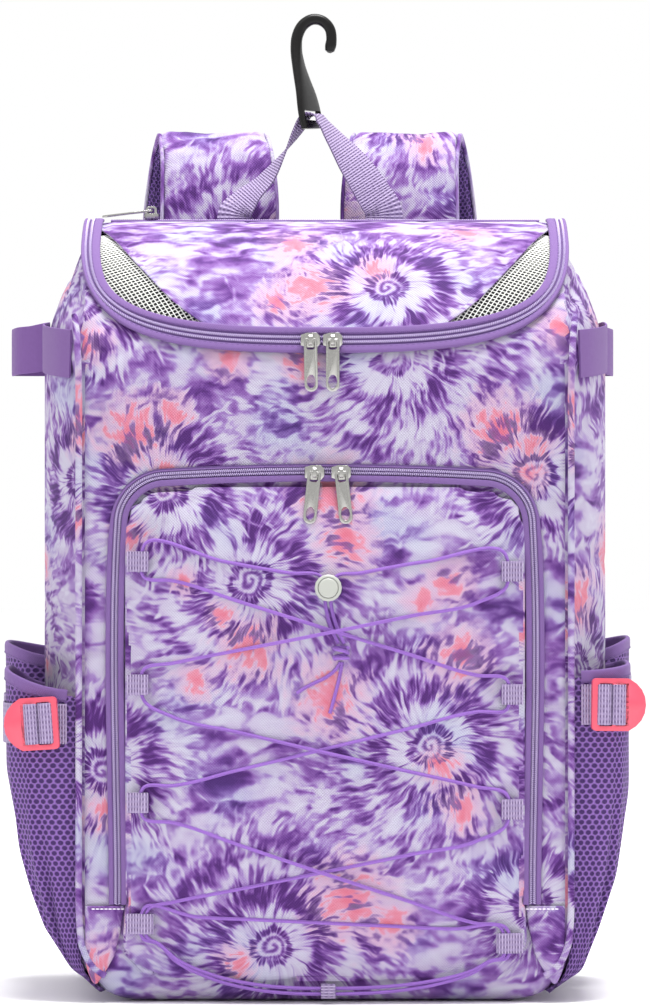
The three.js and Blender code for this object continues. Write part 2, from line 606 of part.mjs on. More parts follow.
function laceLoop(side, z, strands) {
  const eye = LOOP_EYE + LOOP_WALL;
  const spare = (strands - 1) * CORD_RADIUS * 2.1;
  const tabEnd = POCKET_HALF_WIDTH - POCKET_ZIP_HALF - 1;
  const shape = new THREE.Shape().moveTo(tabEnd, 1.2).lineTo(LOOP_EYE_X + 2, 1.6);
  shape.lineTo(LOOP_EYE_X, eye).lineTo(LOOP_EYE_X - spare, eye);
  shape.absarc(LOOP_EYE_X - spare, 0, eye, Math.PI / 2, Math.PI * 1.5);
  shape.lineTo(LOOP_EYE_X, -eye).lineTo(LOOP_EYE_X + 2, -1.6).lineTo(tabEnd, -1.2);
  const hole = new THREE.Path().absarc(LOOP_EYE_X, 0, LOOP_EYE, -Math.PI / 2, Math.PI / 2, false);
  hole.absarc(LOOP_EYE_X - spare, 0, LOOP_EYE, Math.PI / 2, Math.PI * 1.5, false);
  shape.holes.push(hole);
  const made = planPrism(shape, -LOOP_HEIGHT / 2, LOOP_HEIGHT / 2, 3).translate(0, loopY(z), z);
  return side > 0 ? made : mirrored(made, z);
}

// A loop for the other side: turned half round its own height, so that its faces stay outwards.
function mirrored(geometry, z) {
  return geometry.translate(0, -loopY(z), 0).rotateZ(Math.PI).translate(0, loopY(z), 0);
}

// The small loop at the middle of the base that holds the lowest run.
function baseLoop() {
  const middle = DROOP_LOW + CORD_RADIUS + 0.2;
  const box = (wide, deep, tall) => solidOf(new THREE.BoxGeometry(wide, deep, tall).translate(2, DROOP_Y, middle));
  return box(9, 5.4, 8.8).subtract(box(20, 3.8, 7.2));
}

// The lace: one cord from the lock, through every loop, and back to the lock.
const DROOP_LOW = 6.5;
const DROOP_Y = yAt(0) - GAP - CLOTH - 4.4;

// A point of the cord that lies on the pocket, lifted by whole cords where it crosses over another.
function onPocket(x, z, level = 0) {
  return vec(x, pocketFace(x, z) - 0.8 - CORD_RADIUS - level * (2 * CORD_RADIUS + 0.5), z);
}

function through(side, z, downwards, strand = 0) {
  const x = side * (LOOP_EYE_X - strand * CORD_RADIUS * 2.1);
  const reach = LOOP_HEIGHT / 2 + 3.2;
  const pass = [vec(x, loopY(z), z + reach), vec(x, loopY(z), z - reach)];
  return downwards ? pass : pass.reverse();
}

// A run between two loops, over the pocket's face, at the given level where it crosses the other run.
function crossing(from, to, level) {
  return [0.08, 0.26, 0.42, 0.5, 0.58, 0.74, 0.92].map((u) => {
    const near = Math.max(0, 1 - Math.abs(u - 0.5) / 0.2);
    return onPocket(mix(from.x, to.x, u), mix(from.z, to.z, u), level * Math.sqrt(near));
  });
}

// The lowest run hangs below the last loops and rests in the base loop.
function droop(fromSide, strand) {
  const low = DROOP_LOW + strand * (2 * CORD_RADIUS + 0.4);
  const rows = [[104, 0.9], [92, 0.6], [70, 0.3], [44, 0.1], [18, 0.01], [1, 0], [-18, 0.01], [-44, 0.1],
    [-70, 0.3], [-92, 0.6], [-104, 0.9]];
  return rows.map(([x, rise]) => {
    const end = x * fromSide > 0 ? LACE_RIGHT[3] : LACE_LEFT[3];
    const z = mix(low, end - LOOP_HEIGHT / 2 - 2, rise ** 1.1);
    const y = Math.min(pocketFace(x, z) - 0.8 - CORD_RADIUS, DROOP_Y - strand * 0.2);
    return vec(x * fromSide, Math.abs(x) < 30 ? DROOP_Y - strand * 0.2 : y, z);
  });
}

function lacePoints() {
  const [l1, l2, l3, l4] = LACE_LEFT.map((z) => z);
  const [r1, r2, r3, r4] = LACE_RIGHT.map((z) => z);
  const half = LOOP_HEIGHT / 2;
  const eye = (side, z) => ({ x: side * LOOP_EYE_X, z });
  const run = (sideFrom, zFrom, zTo, level) =>
    crossing(eye(sideFrom, zFrom - half), eye(-sideFrom, zTo + half), level);
  const lockIn = (side) => [onPocket(LOCK.x + side * 4, LOCK.z + 6), onPocket(LOCK.x + side * 1.9, LOCK.z),
    onPocket(LOCK.x + side * 1.8, LOCK.z - 10)];
  const down = (side) => [...lockIn(side).reverse(), onPocket(side * 22, 267), onPocket(side * 62, 274)];
  const flat = [-80, -45, 0, 45, 80].map((x) => onPocket(x, mix(56, 45.5, (x + 110) / 220)));
  return [
    onPocket(KNOT.x - 1.8, KNOT.z + 6.5), onPocket(LOCK.x + 1.6, LOCK.z - 24),
    ...down(-1), ...through(-1, l1, true), ...run(-1, l1, r2, 1),
    ...through(1, r2, true), ...run(1, r2, l3, 0),
    ...through(-1, l3, true), ...run(-1, l3, r4, 1),
    ...through(1, r4, true), ...droop(1, 0), ...through(-1, l4, false), ...flat,
    ...through(1, r4, true, 1), ...droop(1, 1), ...through(-1, l4, false, 1), ...run(-1, l4 + 16, r3 - 22, 0),
    ...through(1, r3, false), ...run(1, r3 + 16, l2 - 22, 1),
    ...through(-1, l2, false), ...run(-1, l2 + 16, r1 - 22, 2),
    ...through(1, r1, false), ...down(1).reverse(), onPocket(LOCK.x + 5.2, LOCK.z - 24),
    onPocket(KNOT.x + 1.8, KNOT.z + 6.5),
  ];
}

// The knot under the lock with its two free ends.
function laceKnot() {
  const middle = onPocket(KNOT.x, KNOT.z, 0.5);
  const knot = new THREE.SphereGeometry(1, 8, 6).scale(4.6, 3.2, 5.6).translate(...middle.toArray());
  const end = (rows) => solidOf(tube(rows.map(([x, z]) => onPocket(x, z)), CORD_RADIUS, 6));
  const left = end([[9, 215], [4, 206], [-5, 199], [-16, 194]]);
  const right = end([[11, 215], [8, 204], [5, 195], [3, 187]]);
  return solidOf(knot).add(left).add(right);
}

// The cord lock: a cup that the spring button sinks into, in front of the two cords.
const lockY = onPocket(LOCK.x, LOCK.z).y - CORD_RADIUS - 0.7;

function lathed(profile, sides) {
  const points = profile.map(([r, y]) => new THREE.Vector2(r, y));
  return new THREE.LatheGeometry(points, sides).rotateX(Math.PI);
}

function cordLock() {
  const { radius, button, thick } = LOCK;
  return lathed([[0, 0], [radius - 0.8, 0], [radius, 0.8], [radius, thick - 1.4], [radius - 0.9, thick - 0.6],
    [button + GAP, thick - 0.6], [button + GAP, 1.2], [0, 1.2]], 16);
}

function lockButton() {
  const { button, thick, travel } = LOCK;
  return lathed([[0, 1.2 + travel + 0.3], [button, 1.2 + travel + 0.3], [button, thick - 0.5],
    [button - 0.8, thick + 0.2], [0, thick + 0.4]], 16);
}

// Zip sliders and pulls, each drawn with the pull's hinge at the origin and hanging down.
const PULL = { half: 4.2, length: 32, thick: 1.4, rim: 0.8 };

function zipPull() {
  const { half, length, rim, thick } = PULL;
  const shape = new THREE.Shape().moveTo(-half + 1.2, rim).lineTo(-half, rim - 1.2);
  shape.lineTo(-half, half - length).absarc(0, half - length, half, Math.PI, 2 * Math.PI);
  shape.lineTo(half, rim - 1.2).lineTo(half - 1.2, rim);
  const eye = new THREE.Path().moveTo(-2.5, -rim).lineTo(2.5, -rim).lineTo(2.5, -5).lineTo(1.6, -5.9);
  shape.holes.push(eye.lineTo(-1.6, -5.9).lineTo(-2.5, -5));
  shape.holes.push(new THREE.Path().absellipse(0, 6.4 - length, 2.7, 4.3, 0, 2 * Math.PI, true));
  return frontPrism(shape, -thick / 2, thick / 2, 5);
}

const SLIDER_BACK = 5;

function zipSlider() {
  const plate = new THREE.Shape().moveTo(-6, -3.2).lineTo(-2, -4.6).lineTo(4, -4.6).lineTo(6, -2.4);
  plate.lineTo(6, 2.4).lineTo(4, 4.6).lineTo(-2, 4.6).lineTo(-6, 3.2);
  const arch = new THREE.Shape().moveTo(-3.4, 2.4).lineTo(-3.4, -1.6).lineTo(-2.2, -2.8).lineTo(2.2, -2.8);
  arch.lineTo(3.4, -1.6).lineTo(3.4, 2.4);
  const eye = new THREE.Path().moveTo(-1.9, 1.6).lineTo(1.9, 1.6).lineTo(1.9, -1.1).lineTo(1.5, -1.5);
  arch.holes.push(eye.lineTo(-1.5, -1.5).lineTo(-1.9, -1.1));
  const bridge = new THREE.ExtrudeGeometry(arch, { depth: 2.2, bevelEnabled: false });
  bridge.translate(0, 0, -1.1).rotateY(-Math.PI / 2);
  return geometryOf(solidOf(frontPrism(plate, 2, SLIDER_BACK)).add(solidOf(bridge)));
}

// Materials
const paint = (color, roughness, metalness = 0) =>
  new THREE.MeshStandardMaterial({ color, roughness, metalness });
const MATERIALS = {
  printed_canvas: paint(0x9d7bc9, 0.85),
  purple_mesh: paint(0x7f57ad, 0.9),
  purple_binding: paint(0x8c63b8, 0.8),
  lilac_webbing: paint(0xb79bcb, 0.85),
  white_net: paint(0xe6e6e6, 0.8),
  zip_coil: paint(0x7c5fa6, 0.7),
  lace_cord: paint(0xa56fd6, 0.7),
  nickel: paint(0xc9cbc6, 0.3, 1),
  pink_plastic: paint(0xf77390, 0.5),
  black_plastic: paint(0x2e2d2b, 0.45),
  grey_plastic: paint(0xcfd4cb, 0.5),
};

// The bag, piece by piece
const bag = new THREE.Group();

function add(name, shape, material, place = {}) {
  const geometry = shape.isBufferGeometry ? shape : geometryOf(shape);
  const mesh = new THREE.Mesh(geometry, MATERIALS[material]);
  mesh.name = name;
  if (place.at) mesh.position.copy(place.at);
  if (place.turn) mesh.rotation.set(...place.turn);
  bag.add(mesh);
}

const SIDES = [['left', -1], ['right', 1]];

function addBody() {
  const wall = layer(0, CLOTH);
  add('body_shell', wall.subtract(lidPrism(LID_SEAM, HOOD_DEPTH + LID_SEAM)), 'printed_canvas');
  let lid = wall.intersect(lidPrism(-LID_SEAM, HOOD_DEPTH - LID_SEAM));
  const net = layer(1, 1 + NET_THICKNESS).intersect(lidPrism(-ZIP_BAND_HALF - GAP));
  for (const [name, side] of SIDES) {
    lid = lid.subtract(ventPrism(side, 0).intersect(lidPrism(-ZIP_BAND_HALF)));
    let vent = net.intersect(ventPrism(side, GAP * 1.5));
    for (const hole of netHoles(side)) vent = vent.subtract(hole);
    add('vent_net_' + name, vent, 'white_net');
  }
  add('lid', lid, 'printed_canvas');
}

function addLidZip() {
  const band = lidPrism(ZIP_BAND_HALF).subtract(lidPrism(-ZIP_BAND_HALF, HOOD_DEPTH + 20));
  const line = lidPrism(COIL_HALF).subtract(lidPrism(-COIL_HALF, HOOD_DEPTH + 20));
  const tape = layer(-GAP - ZIP_TAPE, -GAP).intersect(band);
  const coil = layer(-GAP - ZIP_TAPE - COIL_RISE, -GAP - ZIP_TAPE + 0.4).intersect(line);
  add('lid_zip', tape.add(coil), 'zip_coil');
  const across = (half, reach, low) => solidOf(
    new THREE.BoxGeometry(2 * reach, 2 * half, 200).translate(0, yAt(TOP_ZIP_DEPTH), low + 100));
  const low = BAG_TOP - 20;
  const topTape = layer(-GAP - ZIP_TAPE, -GAP).intersect(across(TOP_ZIP_HALF, TOP_ZIP_REACH, low));
  const topCoil = layer(-GAP - ZIP_TAPE - COIL_RISE, -GAP - ZIP_TAPE + 0.4)
    .intersect(across(COIL_HALF, TOP_ZIP_REACH - 2, low));
  add('top_zip', topTape.add(topCoil), 'zip_coil');
}

function addFront() {
  add('front_pocket', frontPocket(), 'printed_canvas');
  add('pocket_zip', pocketZip(), 'zip_coil');
  for (const [name, side] of SIDES) {
    add('pocket_gusset_' + name, pocketGusset(side), 'printed_canvas');
    add('piping_' + name, piping(side), 'printed_canvas');
    const heights = side < 0 ? LACE_LEFT : LACE_RIGHT;
    heights.forEach((z, i) => add(`lace_loop_${name}_${i + 1}`, laceLoop(side, z, i === 3 ? 2 : 1),
      'lilac_webbing'));
  }
  add('lace_loop_base', baseLoop(), 'lilac_webbing');
  add('lace_cord', tube(lacePoints(), CORD_RADIUS, 6), 'lace_cord');
  add('lace_knot', laceKnot(), 'lace_cord');
  add('cord_lock', cordLock(), 'grey_plastic', { at: vec(LOCK.x, lockY, LOCK.z) });
  add('lock_button', lockButton(), 'grey_plastic', { at: vec(LOCK.x, lockY, LOCK.z) });
}

function addSides() {
  for (const [name, side] of SIDES) {
    add('bottle_pocket_' + name, pocketMesh(side, BOTTLE[name]), 'purple_mesh');
    add('bottle_binding_' + name, pocketBinding(side, BOTTLE[name]), 'purple_binding');
    add('bat_sleeve_' + name, pocketMesh(side, SLEEVE[name]), 'purple_mesh');
    add('sleeve_binding_' + name, pocketBinding(side, SLEEVE[name]), 'purple_binding');
    add('side_strap_' + name, sideStrap(name, side), 'lilac_webbing');
    add('bat_loop_' + name, batLoop(name, side), 'purple_binding');
    const at = vec(side * 182, yAt(0) - BUCKLE_FRONT[name], SIDE_STRAP_Z[name]);
    const turn = [0, rad(side < 0 ? -4 : 1), rad(side * 10)];
    add('side_buckle_' + name, buckle(side), 'pink_plastic', { at, turn });
  }
}

function addBack() {
  const [half, low, high] = [BACK_HALF_WIDTH - 11, 26, BAG_TOP - 23];
  const outline = new THREE.Shape().moveTo(-half, low + 34).quadraticCurveTo(2 - half, low + 4, 32 - half, low);
  outline.lineTo(half - 32, low).quadraticCurveTo(half - 2, low + 4, half, low + 34).lineTo(half, high - 44);
  outline.quadraticCurveTo(half - 2, high - 2, half - 32, high).lineTo(32 - half, high);
  outline.quadraticCurveTo(2 - half, high - 2, -half, high - 44);
  const back = yAt(BAG_DEPTH);
  add('back_panel', frontPrism(outline, back + GAP, back + GAP + BACK_PAD, 4), 'purple_mesh');
  for (const [name, side] of SIDES) {
    add('shoulder_strap_' + name, shoulderStrap(side), 'printed_canvas');
    add('strap_tail_' + name, strapTail(side), 'lilac_webbing');
    const at = vec(STRAP_OFFSET + side * (STRAP_SPREAD + 38), back + GAP + BACK_PAD + 52, 163);
    add('strap_adjuster_' + name, adjuster(), 'black_plastic', { at });
  }
  add('grab_handle', grabHandle(), 'lilac_webbing');
  add('fence_hook', fenceHook(), 'black_plastic');
}

// Each slider sits on its coil and carries its pull: place, lean in its own plane, and lie of the pull.
const lidZipY = yAt(0) - 0.9;
const pocketZipY = yAt(0) - GAP - ZIP_TAPE - COIL_RISE - 0.4;
const topZipZ = BAG_TOP + GAP + ZIP_TAPE + COIL_RISE + 0.4;
const PULLS = [
  { name: 'lid_left', at: vec(-9, lidZipY - SLIDER_BACK, LID_FRONT_Z + 0.5), lean: 1 },
  { name: 'lid_right', at: vec(4.8, lidZipY - SLIDER_BACK, LID_FRONT_Z + 0.5), lean: 0 },
  { name: 'pocket_left', at: vec(-6.5, pocketZipY - SLIDER_BACK, POCKET_TOP + 2), lean: -6, tilt: 4 },
  { name: 'pocket_right', at: vec(10, pocketZipY - SLIDER_BACK, POCKET_TOP + 2), lean: 6, tilt: 4 },
  { name: 'top', at: vec(-112, yAt(TOP_ZIP_DEPTH), topZipZ + SLIDER_BACK), tilt: -7, lying: true },
];

function addPulls() {
  for (const { name, at, lean = 0, tilt = 0, lying } of PULLS) {
    const turn = lying ? new THREE.Matrix4().makeBasis(vec(0, -1, 0), vec(0, 0, -1), vec(1, 0, 0))
      : new THREE.Matrix4();
    const slider = zipSlider().applyMatrix4(turn);
    add('slider_' + name, slider, 'nickel', { at });
    const pull = zipPull().rotateY(rad(-lean)).rotateX(rad(-tilt)).applyMatrix4(turn);
    add('pull_' + name, pull, 'nickel', { at });
  }
}

addBody();
addLidZip();
addFront();
addSides();
addBack();
addPulls();

export default bag;
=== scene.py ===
"""A baseball bat backpack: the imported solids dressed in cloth, webbing, zips and moulded fittings.

Lengths in the tables are millimetres. The front faces -Y and the bag stands on z = 0.
"""

import math

import bpy
import numpy as np
from mathutils import Matrix, Vector


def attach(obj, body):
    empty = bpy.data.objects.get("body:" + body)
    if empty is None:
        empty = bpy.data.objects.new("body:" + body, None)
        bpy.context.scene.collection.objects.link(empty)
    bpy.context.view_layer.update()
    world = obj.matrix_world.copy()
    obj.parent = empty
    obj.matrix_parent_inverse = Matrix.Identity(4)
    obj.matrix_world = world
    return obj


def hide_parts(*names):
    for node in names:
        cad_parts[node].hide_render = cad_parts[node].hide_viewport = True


bl_info = {
    "name": "Baseball bat backpack",
    "version": (1, 0, 0),
    "blender": (4, 5, 0),
    "location": "View3D > Sidebar > Backpack",
    "description": "Dresses the solids of a bat backpack in cloth, webbing, zips and fittings",
    "category": "Object",
}

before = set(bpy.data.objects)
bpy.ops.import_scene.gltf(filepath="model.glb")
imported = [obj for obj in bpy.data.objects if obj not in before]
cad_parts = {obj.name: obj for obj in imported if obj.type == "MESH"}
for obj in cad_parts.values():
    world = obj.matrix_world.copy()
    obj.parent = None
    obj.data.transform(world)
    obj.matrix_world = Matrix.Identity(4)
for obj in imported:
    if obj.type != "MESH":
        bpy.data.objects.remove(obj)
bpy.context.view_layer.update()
BODY = "bag"
MM = 0.001
UNDERSIDE = 40  # mm over on the cloth's roll to where a strip's underside is cut

# Form of the bag, as its solids have it
DEPTH = 200
FRONT, BACK = -DEPTH / 2, DEPTH / 2
FRONT_HALF, BACK_HALF, SIDE_HALF = 150, 147, 176
HOOD_DEPTH, HOOD_START, HOOD_RISE = 140, 388, 99
TOP = HOOD_START + HOOD_RISE
SHOULDER_DROP = 75
CORNER_WIDTH, CORNER_HEIGHT = 24, 30
CORNER_EXTRA_WIDTH, CORNER_EXTRA_HEIGHT = 42, 75
EDGE_ROUND = 16
CLOTH = 3
SIDE_PLAN = [  # share of the depth, share of the swell
    (0, 0.03), (0.08, 0.45), (0.18, 0.76), (0.3, 0.97), (0.4, 1), (0.49, 0.9), (0.57, 0.55),
    (0.63, 0.22), (0.7, 0.06), (0.82, 0.01), (1, 0),
]
SHOULDER = [(0, 0), (0.3, 0.34), (0.68, 0.62), (0.94, 0.82), (1, 1)]  # share out, share down
LID_HALF, LID_FOOT = 145, 410.5
BAND_THICK = 1.9
VENT_EDGE = [(62, 413), (69.6, 418.6), (93.4, 436), (115, 457.7), (138, 479.7), (146, 484.5)]  # x, z
POCKET_HALF, POCKET_TOP, POCKET_CORNER = 128.5, 327, 30
POCKET_ZIP_HALF, POCKET_ZIP_FOOT, POCKET_FOOT, POCKET_FOOT_HALF = 7, 61, 8, 136
POCKET_PUFF, POCKET_INSET = 12, 4.4  # the dome, and how far inside the zip's line the cloth ends
FRONT_GAP = 0.3  # between a piece and the one it lies on
TOP_ZIP_DEPTH, TOP_ZIP_REACH, TOP_ZIP_HALF = 165, 138, 6
SIDES = (("left", -1), ("right", 1))
FORWARD, RIGHT, REARWARD, UP = np.array([(0.0, -1, 0), (1, 0, 0), (0, 1, 0), (0, 0, 1)])

# Side pockets: height and reach of each outline, and each pocket's place along the bag's depth
REACH = {
    "left": [(0, 130), (8, 137), (20, 156), (45, 171), (95, 188), (144, 196.5), (240, 198)],
    "right": [(0, 142), (8, 148), (20, 158), (45, 168), (76, 178), (130, 187), (240, 188.5)],
}
BOTTLE = {"start": 2, "end": 100, "spread": 1.0125, "square": 0.5, "rim": {"left": (194, 13), "right": (206, 4)}}
SLEEVE = {"start": 104, "end": 192, "spread": 1.037, "square": 0.6, "rim": {"left": (211, 8), "right": (215, 7)}}
RIM_BINDING, MESH_WALL, BINDING_WALL = 8, 2, 3.2
WEBBING_WIDTH, WEBBING = 25, 1.4
SIDE_STRAP_Z = {"left": 173, "right": 185}
BAT_BAND_Z, BAT_BAND_HEIGHT = 402, 30
BAT_LOOP_REACH = {"left": 199, "right": 183}

# Shoulder straps, handle and hook
STRAP_OFFSET, STRAP_SPREAD, STRAP_WIDTH, STRAP_PAD, BACK_PAD = -10, 59, 78, 11, 5
BACK_FACE = BACK + FRONT_GAP + BACK_PAD
STRAP_PATH = [  # out from the back panel, height, outward flare, width share
    (6, 452, 0, 1), (7, 476, 0, 1), (12, 508, 0, 0.99), (22, 534, 2, 0.95), (38, 545, 5, 0.93),
    (54, 534, 8, 0.95), (64, 506, 11, 1), (74, 450, 15, 1), (83, 380, 18, 1), (84, 310, 22, 0.98),
    (75, 245, 28, 0.9), (60, 196, 34, 0.72), (52, 176, 38, 0.5),
]
STRAP_HEM = [  # out from the back panel, height, outward flare: round the adjuster's upper bar
    (51, 180, 38), (49, 172, 38), (48.2, 169, 38), (48.8, 167, 38), (52, 165.9, 38), (55.2, 167, 38), (55.8, 169.4, 38),
]
STRAP_TAIL = [  # out from the back panel, height, outward flare: round its lower bar and down to the corner
    (58.5, 112, 38), (57, 148, 38), (55.8, 156.5, 38), (55.2, 159.2, 38), (52, 160.2, 38), (48.8, 159.2, 38),
    (48.2, 156.5, 38), (46.5, 148, 39), (42, 125, 46), (26, 84, 62), (9, 44, 74), (2.6, 32, 78),
]
HANDLE_Y = 85
HANDLE_PATH = [  # x, height, quarter turns of the webbing
    (-58, 487.8, 0.05), (-58, 494, 0.12), (-51, 504, 0.3), (-38, 517, 0.5), (-27, 533, 0.75), (-18, 548, 0.95),
    (-14, 554.6, 1), (-11.4, 557.8, 1), (-8, 558.6, 1), (-4.6, 557.8, 1), (-2, 554.6, 1), (5, 545, 0.8),
    (17, 529, 0.4), (31, 508, 0.15), (38, 495, 0.05), (38, 487.8, 0.05),
]
HOOK_X, HOOK_FOOT = -8, 554
HOOK_PATH = [  # x, height above the slot's foot, thickness, breadth, turn of the breadth
    (10.8, 44.6, 2, 2, 90), (10.9, 45.2, 4.6, 4.6, 90), (11.2, 47, 6.4, 6.4, 90), (12.2, 54, 6.8, 6.8, 90),
    (11, 60.5, 6.8, 6.8, 90), (6, 65.5, 7, 7, 90), (0, 66.4, 7.2, 7.2, 90), (-6, 63, 7.4, 7.6, 90),
    (-9.8, 56, 7.4, 8.4, 88), (-10.6, 47, 7.2, 11, 80), (-9.2, 37, 6.8, 16, 74), (-6.8, 27, 6.6, 22, 70),
    (-4.4, 18, 6.4, 28, 68), (-2.6, 9, 6.2, 32, 67), (-1.4, 2, 6, 34, 68), (-0.6, -4.4, 5.6, 33, 70),
]

# Lacing
CORD = 1.5  # radius of the lace's solid; the braid is drawn tighter
LOOP_HEIGHT, LOOP_EYE_X, LOOP_EYE, LOOP_WALL = 12.5, 112, 1.9, 1.1
LACE_Z = {"left": (274, 198, 125, 50), "right": (268, 192, 121, 38)}
LOCK_X, LOCK_Z = 2, 258
KNOT_X, KNOT_Z = 10, 217
DROOP_LOW, DROOP_Y = 6.5, -107.7  # where the lace hangs lowest

# Tie-dye: centres of the spirals on the front's chart (x, height along the cloth) and their reach
SPIRALS = [
    (43, 402, 98), (39, 453, 60), (-46.5, 262, 84), (65, 160, 80), (-33, 36, 84), (130, 327, 50),
    (-99, 318, 60), (-138, 144, 58), (-150, 440, 60), (128, 60, 40),
]
PINKS = [  # x, height along the cloth, reach
    (-121, 355, 25), (-95, 366, 16), (108, 356, 26), (130, 345, 14), (6, 316, 26), (14, 285, 22), (77, 262, 18),
    (60, 250, 14), (-10, 452, 26), (-28, 440, 18), (30, 470, 14), (-46, 219, 24), (3, 190, 26), (84, 216, 22),
    (72, 148, 16), (15, 66, 30), (40, 50, 20), (-54, 26, 14), (-64, 240, 12), (-99, 330, 14), (126, 328, 14),
    (84, 121, 18), (-136, 120, 14), (-88, 262, 10), (-120, 290, 14), (-80, 200, 14), (-20, 500, 22), (90, 520, 20),
    (-60, 400, 16), (-14, 396, 16), (146, 420, 16), (-150, 410, 18),
]


def linear(code):
    """An sRGB hex colour, or a colour property, as the linear RGBA that the shaders take."""
    if not isinstance(code, str):
        return (*code[:3], 1.0)
    parts = [int(code[i : i + 2], 16) / 255 for i in (0, 2, 4)]
    return tuple(c / 12.92 if c <= 0.04045 else ((c + 0.055) / 1.055) ** 2.4 for c in parts) + (1.0,)


def size(name):
    """One of the add-on's sizes, in millimetres."""
    return getattr(bpy.context.scene.backpack_sizes, name) / MM


# ---------------------------------------------------------------- form of the bag


def clamp(value, low=0.0, high=1.0):
    """A value, or an array of them, held between two ends."""
    return np.minimum(np.maximum(value, low), high)


def look_up(rows, value):
    """The second column of a table at a value of the first, with straight lines between the rows."""
    return np.interp(value, [r[0] for r in rows], [r[1] for r in rows])


def y_at(depth):
    return depth - DEPTH / 2


def swell(depth):
    """How far the bag's sides bulge at a depth, as a share of the most."""
    return look_up(SIDE_PLAN, clamp(depth / DEPTH))


def half_width(depth):
    edge = FRONT_HALF + (BACK_HALF - FRONT_HALF) * clamp(depth / HOOD_DEPTH)
    return edge + (SIDE_HALF - edge) * swell(depth)


def side_x(depth, z):
    """How far out the bag's side is at a depth and height, below the shoulder."""
    s = swell(depth)
    low = clamp(1 - z / (CORNER_HEIGHT + CORNER_EXTRA_HEIGHT * s))
    return half_width(depth) - (CORNER_WIDTH + CORNER_EXTRA_WIDTH * s) * (1 - np.sqrt(1 - low * low))


def form_ring(depth, top, inset):
    """One upright section of the bag's form, pulled in by inset, as points in millimetres."""
    share = (depth - inset) / (DEPTH - 2 * inset)
    s = swell(share * DEPTH)
    half = half_width(share * DEPTH) - inset
    corner_w = CORNER_WIDTH + CORNER_EXTRA_WIDTH * s - inset
    corner_h = CORNER_HEIGHT + CORNER_EXTRA_HEIGHT * s - inset
    end_round = EDGE_ROUND - inset
    from_end = max(0.0, min(depth, DEPTH - depth) - inset)
    lift = end_round - math.sqrt(end_round**2 - (end_round - from_end) ** 2) if from_end < end_round else 0
    bottom = inset + lift
    crest = top - (lift * 0.4 if DEPTH - depth - inset < end_round else 0)
    right = []
    for a in np.linspace(0, math.pi / 2, 9):
        right.append((half - corner_w * (1 - math.sin(a)), bottom + corner_h * (1 - math.cos(a))))
    edge = min(FRONT_HALF - inset, half)
    for share_out in np.linspace(1, 0, 9):
        down = look_up(SHOULDER, share_out)
        right.append((edge + (half - edge) * share_out, crest - SHOULDER_DROP * s * down))
    left = [(-x, z) for x, z in reversed(right)]
    return [(x, y_at(depth), z) for x, z in right + left]


def form_points(inset):
    rings = []
    for a in np.linspace(0, math.pi / 2, 25):
        depth = HOOD_DEPTH - (HOOD_DEPTH - inset) * math.cos(a)
        rings.append(form_ring(depth, HOOD_START + (HOOD_RISE - inset) * math.sin(a), inset))
    for depth in (151, 163, 175, 184, 190, 194.5, 197.5, 199.2, 200):
        rings.append(form_ring(min(depth, DEPTH - inset), TOP - inset, inset))
    return np.array(rings)


def hood_angle(z):
    return np.arcsin(clamp((z - HOOD_START) / HOOD_RISE))


def hood_y(z):
    """Where the hood's surface is at a height: its front plane below the hood."""
    return y_at(HOOD_DEPTH * (1 - np.cos(hood_angle(z))))


HOOD_ANGLES = np.linspace(0, math.pi / 2, 91)
HOOD_STEPS = np.hypot(HOOD_DEPTH * np.sin(HOOD_ANGLES), HOOD_RISE * np.cos(HOOD_ANGLES)) * (math.pi / 180)
HOOD_ARC = np.concatenate([[0], np.cumsum((HOOD_STEPS[1:] + HOOD_STEPS[:-1]) / 2)])


def hood_arc(angle):
    """Length along the hood's curve up to an angle."""
    return np.interp(angle, HOOD_ANGLES, HOOD_ARC)


def hood_normal(z):
    """Outward direction of the hood's surface at a height."""
    a = hood_angle(z)
    return unit(np.stack([np.zeros_like(a), -HOOD_RISE * np.cos(a), HOOD_DEPTH * np.sin(a)], -1))


def lid_curve(grow=0.0):
    """The lid's outline from its left end over the front to its right end, as x and z."""
    half, foot = LID_HALF + grow, LID_FOOT - grow
    t = np.linspace(0, 1, 40)[:, None]
    p = np.array([(-half, foot + 62 + grow), (-half, foot + 7), (-100 - grow / 2, foot), (0, foot)], float)
    bow = (1 - t) ** 3 * p[0] + 3 * (1 - t) ** 2 * t * p[1] + 3 * (1 - t) * t**2 * p[2] + t**3 * p[3]
    rise = HOOD_START + HOOD_RISE * np.sin(np.linspace(math.pi / 2, hood_angle(p[0][1]), 16)[:-1])
    left = np.vstack([np.stack([np.full(15, -half), rise], -1), bow])
    return np.vstack([left, left[::-1][1:] * (-1, 1)])


def in_lid(x, z, grow=0.0):
    """Whether a place on the hood is inside the lid's outline, grown all round."""
    curve = lid_curve(grow)
    foot = np.interp(-np.abs(x), curve[14:54, 0], curve[14:54, 1])
    return (np.abs(x) < LID_HALF + grow) & (z > foot)


def vent_z(x):
    return look_up(VENT_EDGE, np.abs(x))


def pocket_half(z, inset):
    """Half width of the front pocket's outline at a height."""
    half, round_, top = POCKET_HALF - inset, POCKET_CORNER - inset, POCKET_TOP - inset
    foot = np.interp(z, [POCKET_FOOT, POCKET_ZIP_FOOT], [POCKET_FOOT_HALF, half])
    up = clamp(z - (top - round_), 0, round_)
    return np.where(z > top - round_, half - round_ + np.sqrt(np.maximum(round_**2 - up**2, 0)), foot)


def pocket_face(x, z):
    """The front pocket's domed face."""
    middle, tall = (POCKET_TOP + POCKET_FOOT) / 2, (POCKET_TOP - POCKET_FOOT) / 2
    across = 1 - clamp(np.abs(x) / POCKET_FOOT_HALF) ** 3
    up = 1 - clamp(np.abs(z - middle) / tall) ** 3
    return FRONT - FRONT_GAP - CLOTH - POCKET_PUFF * across * up


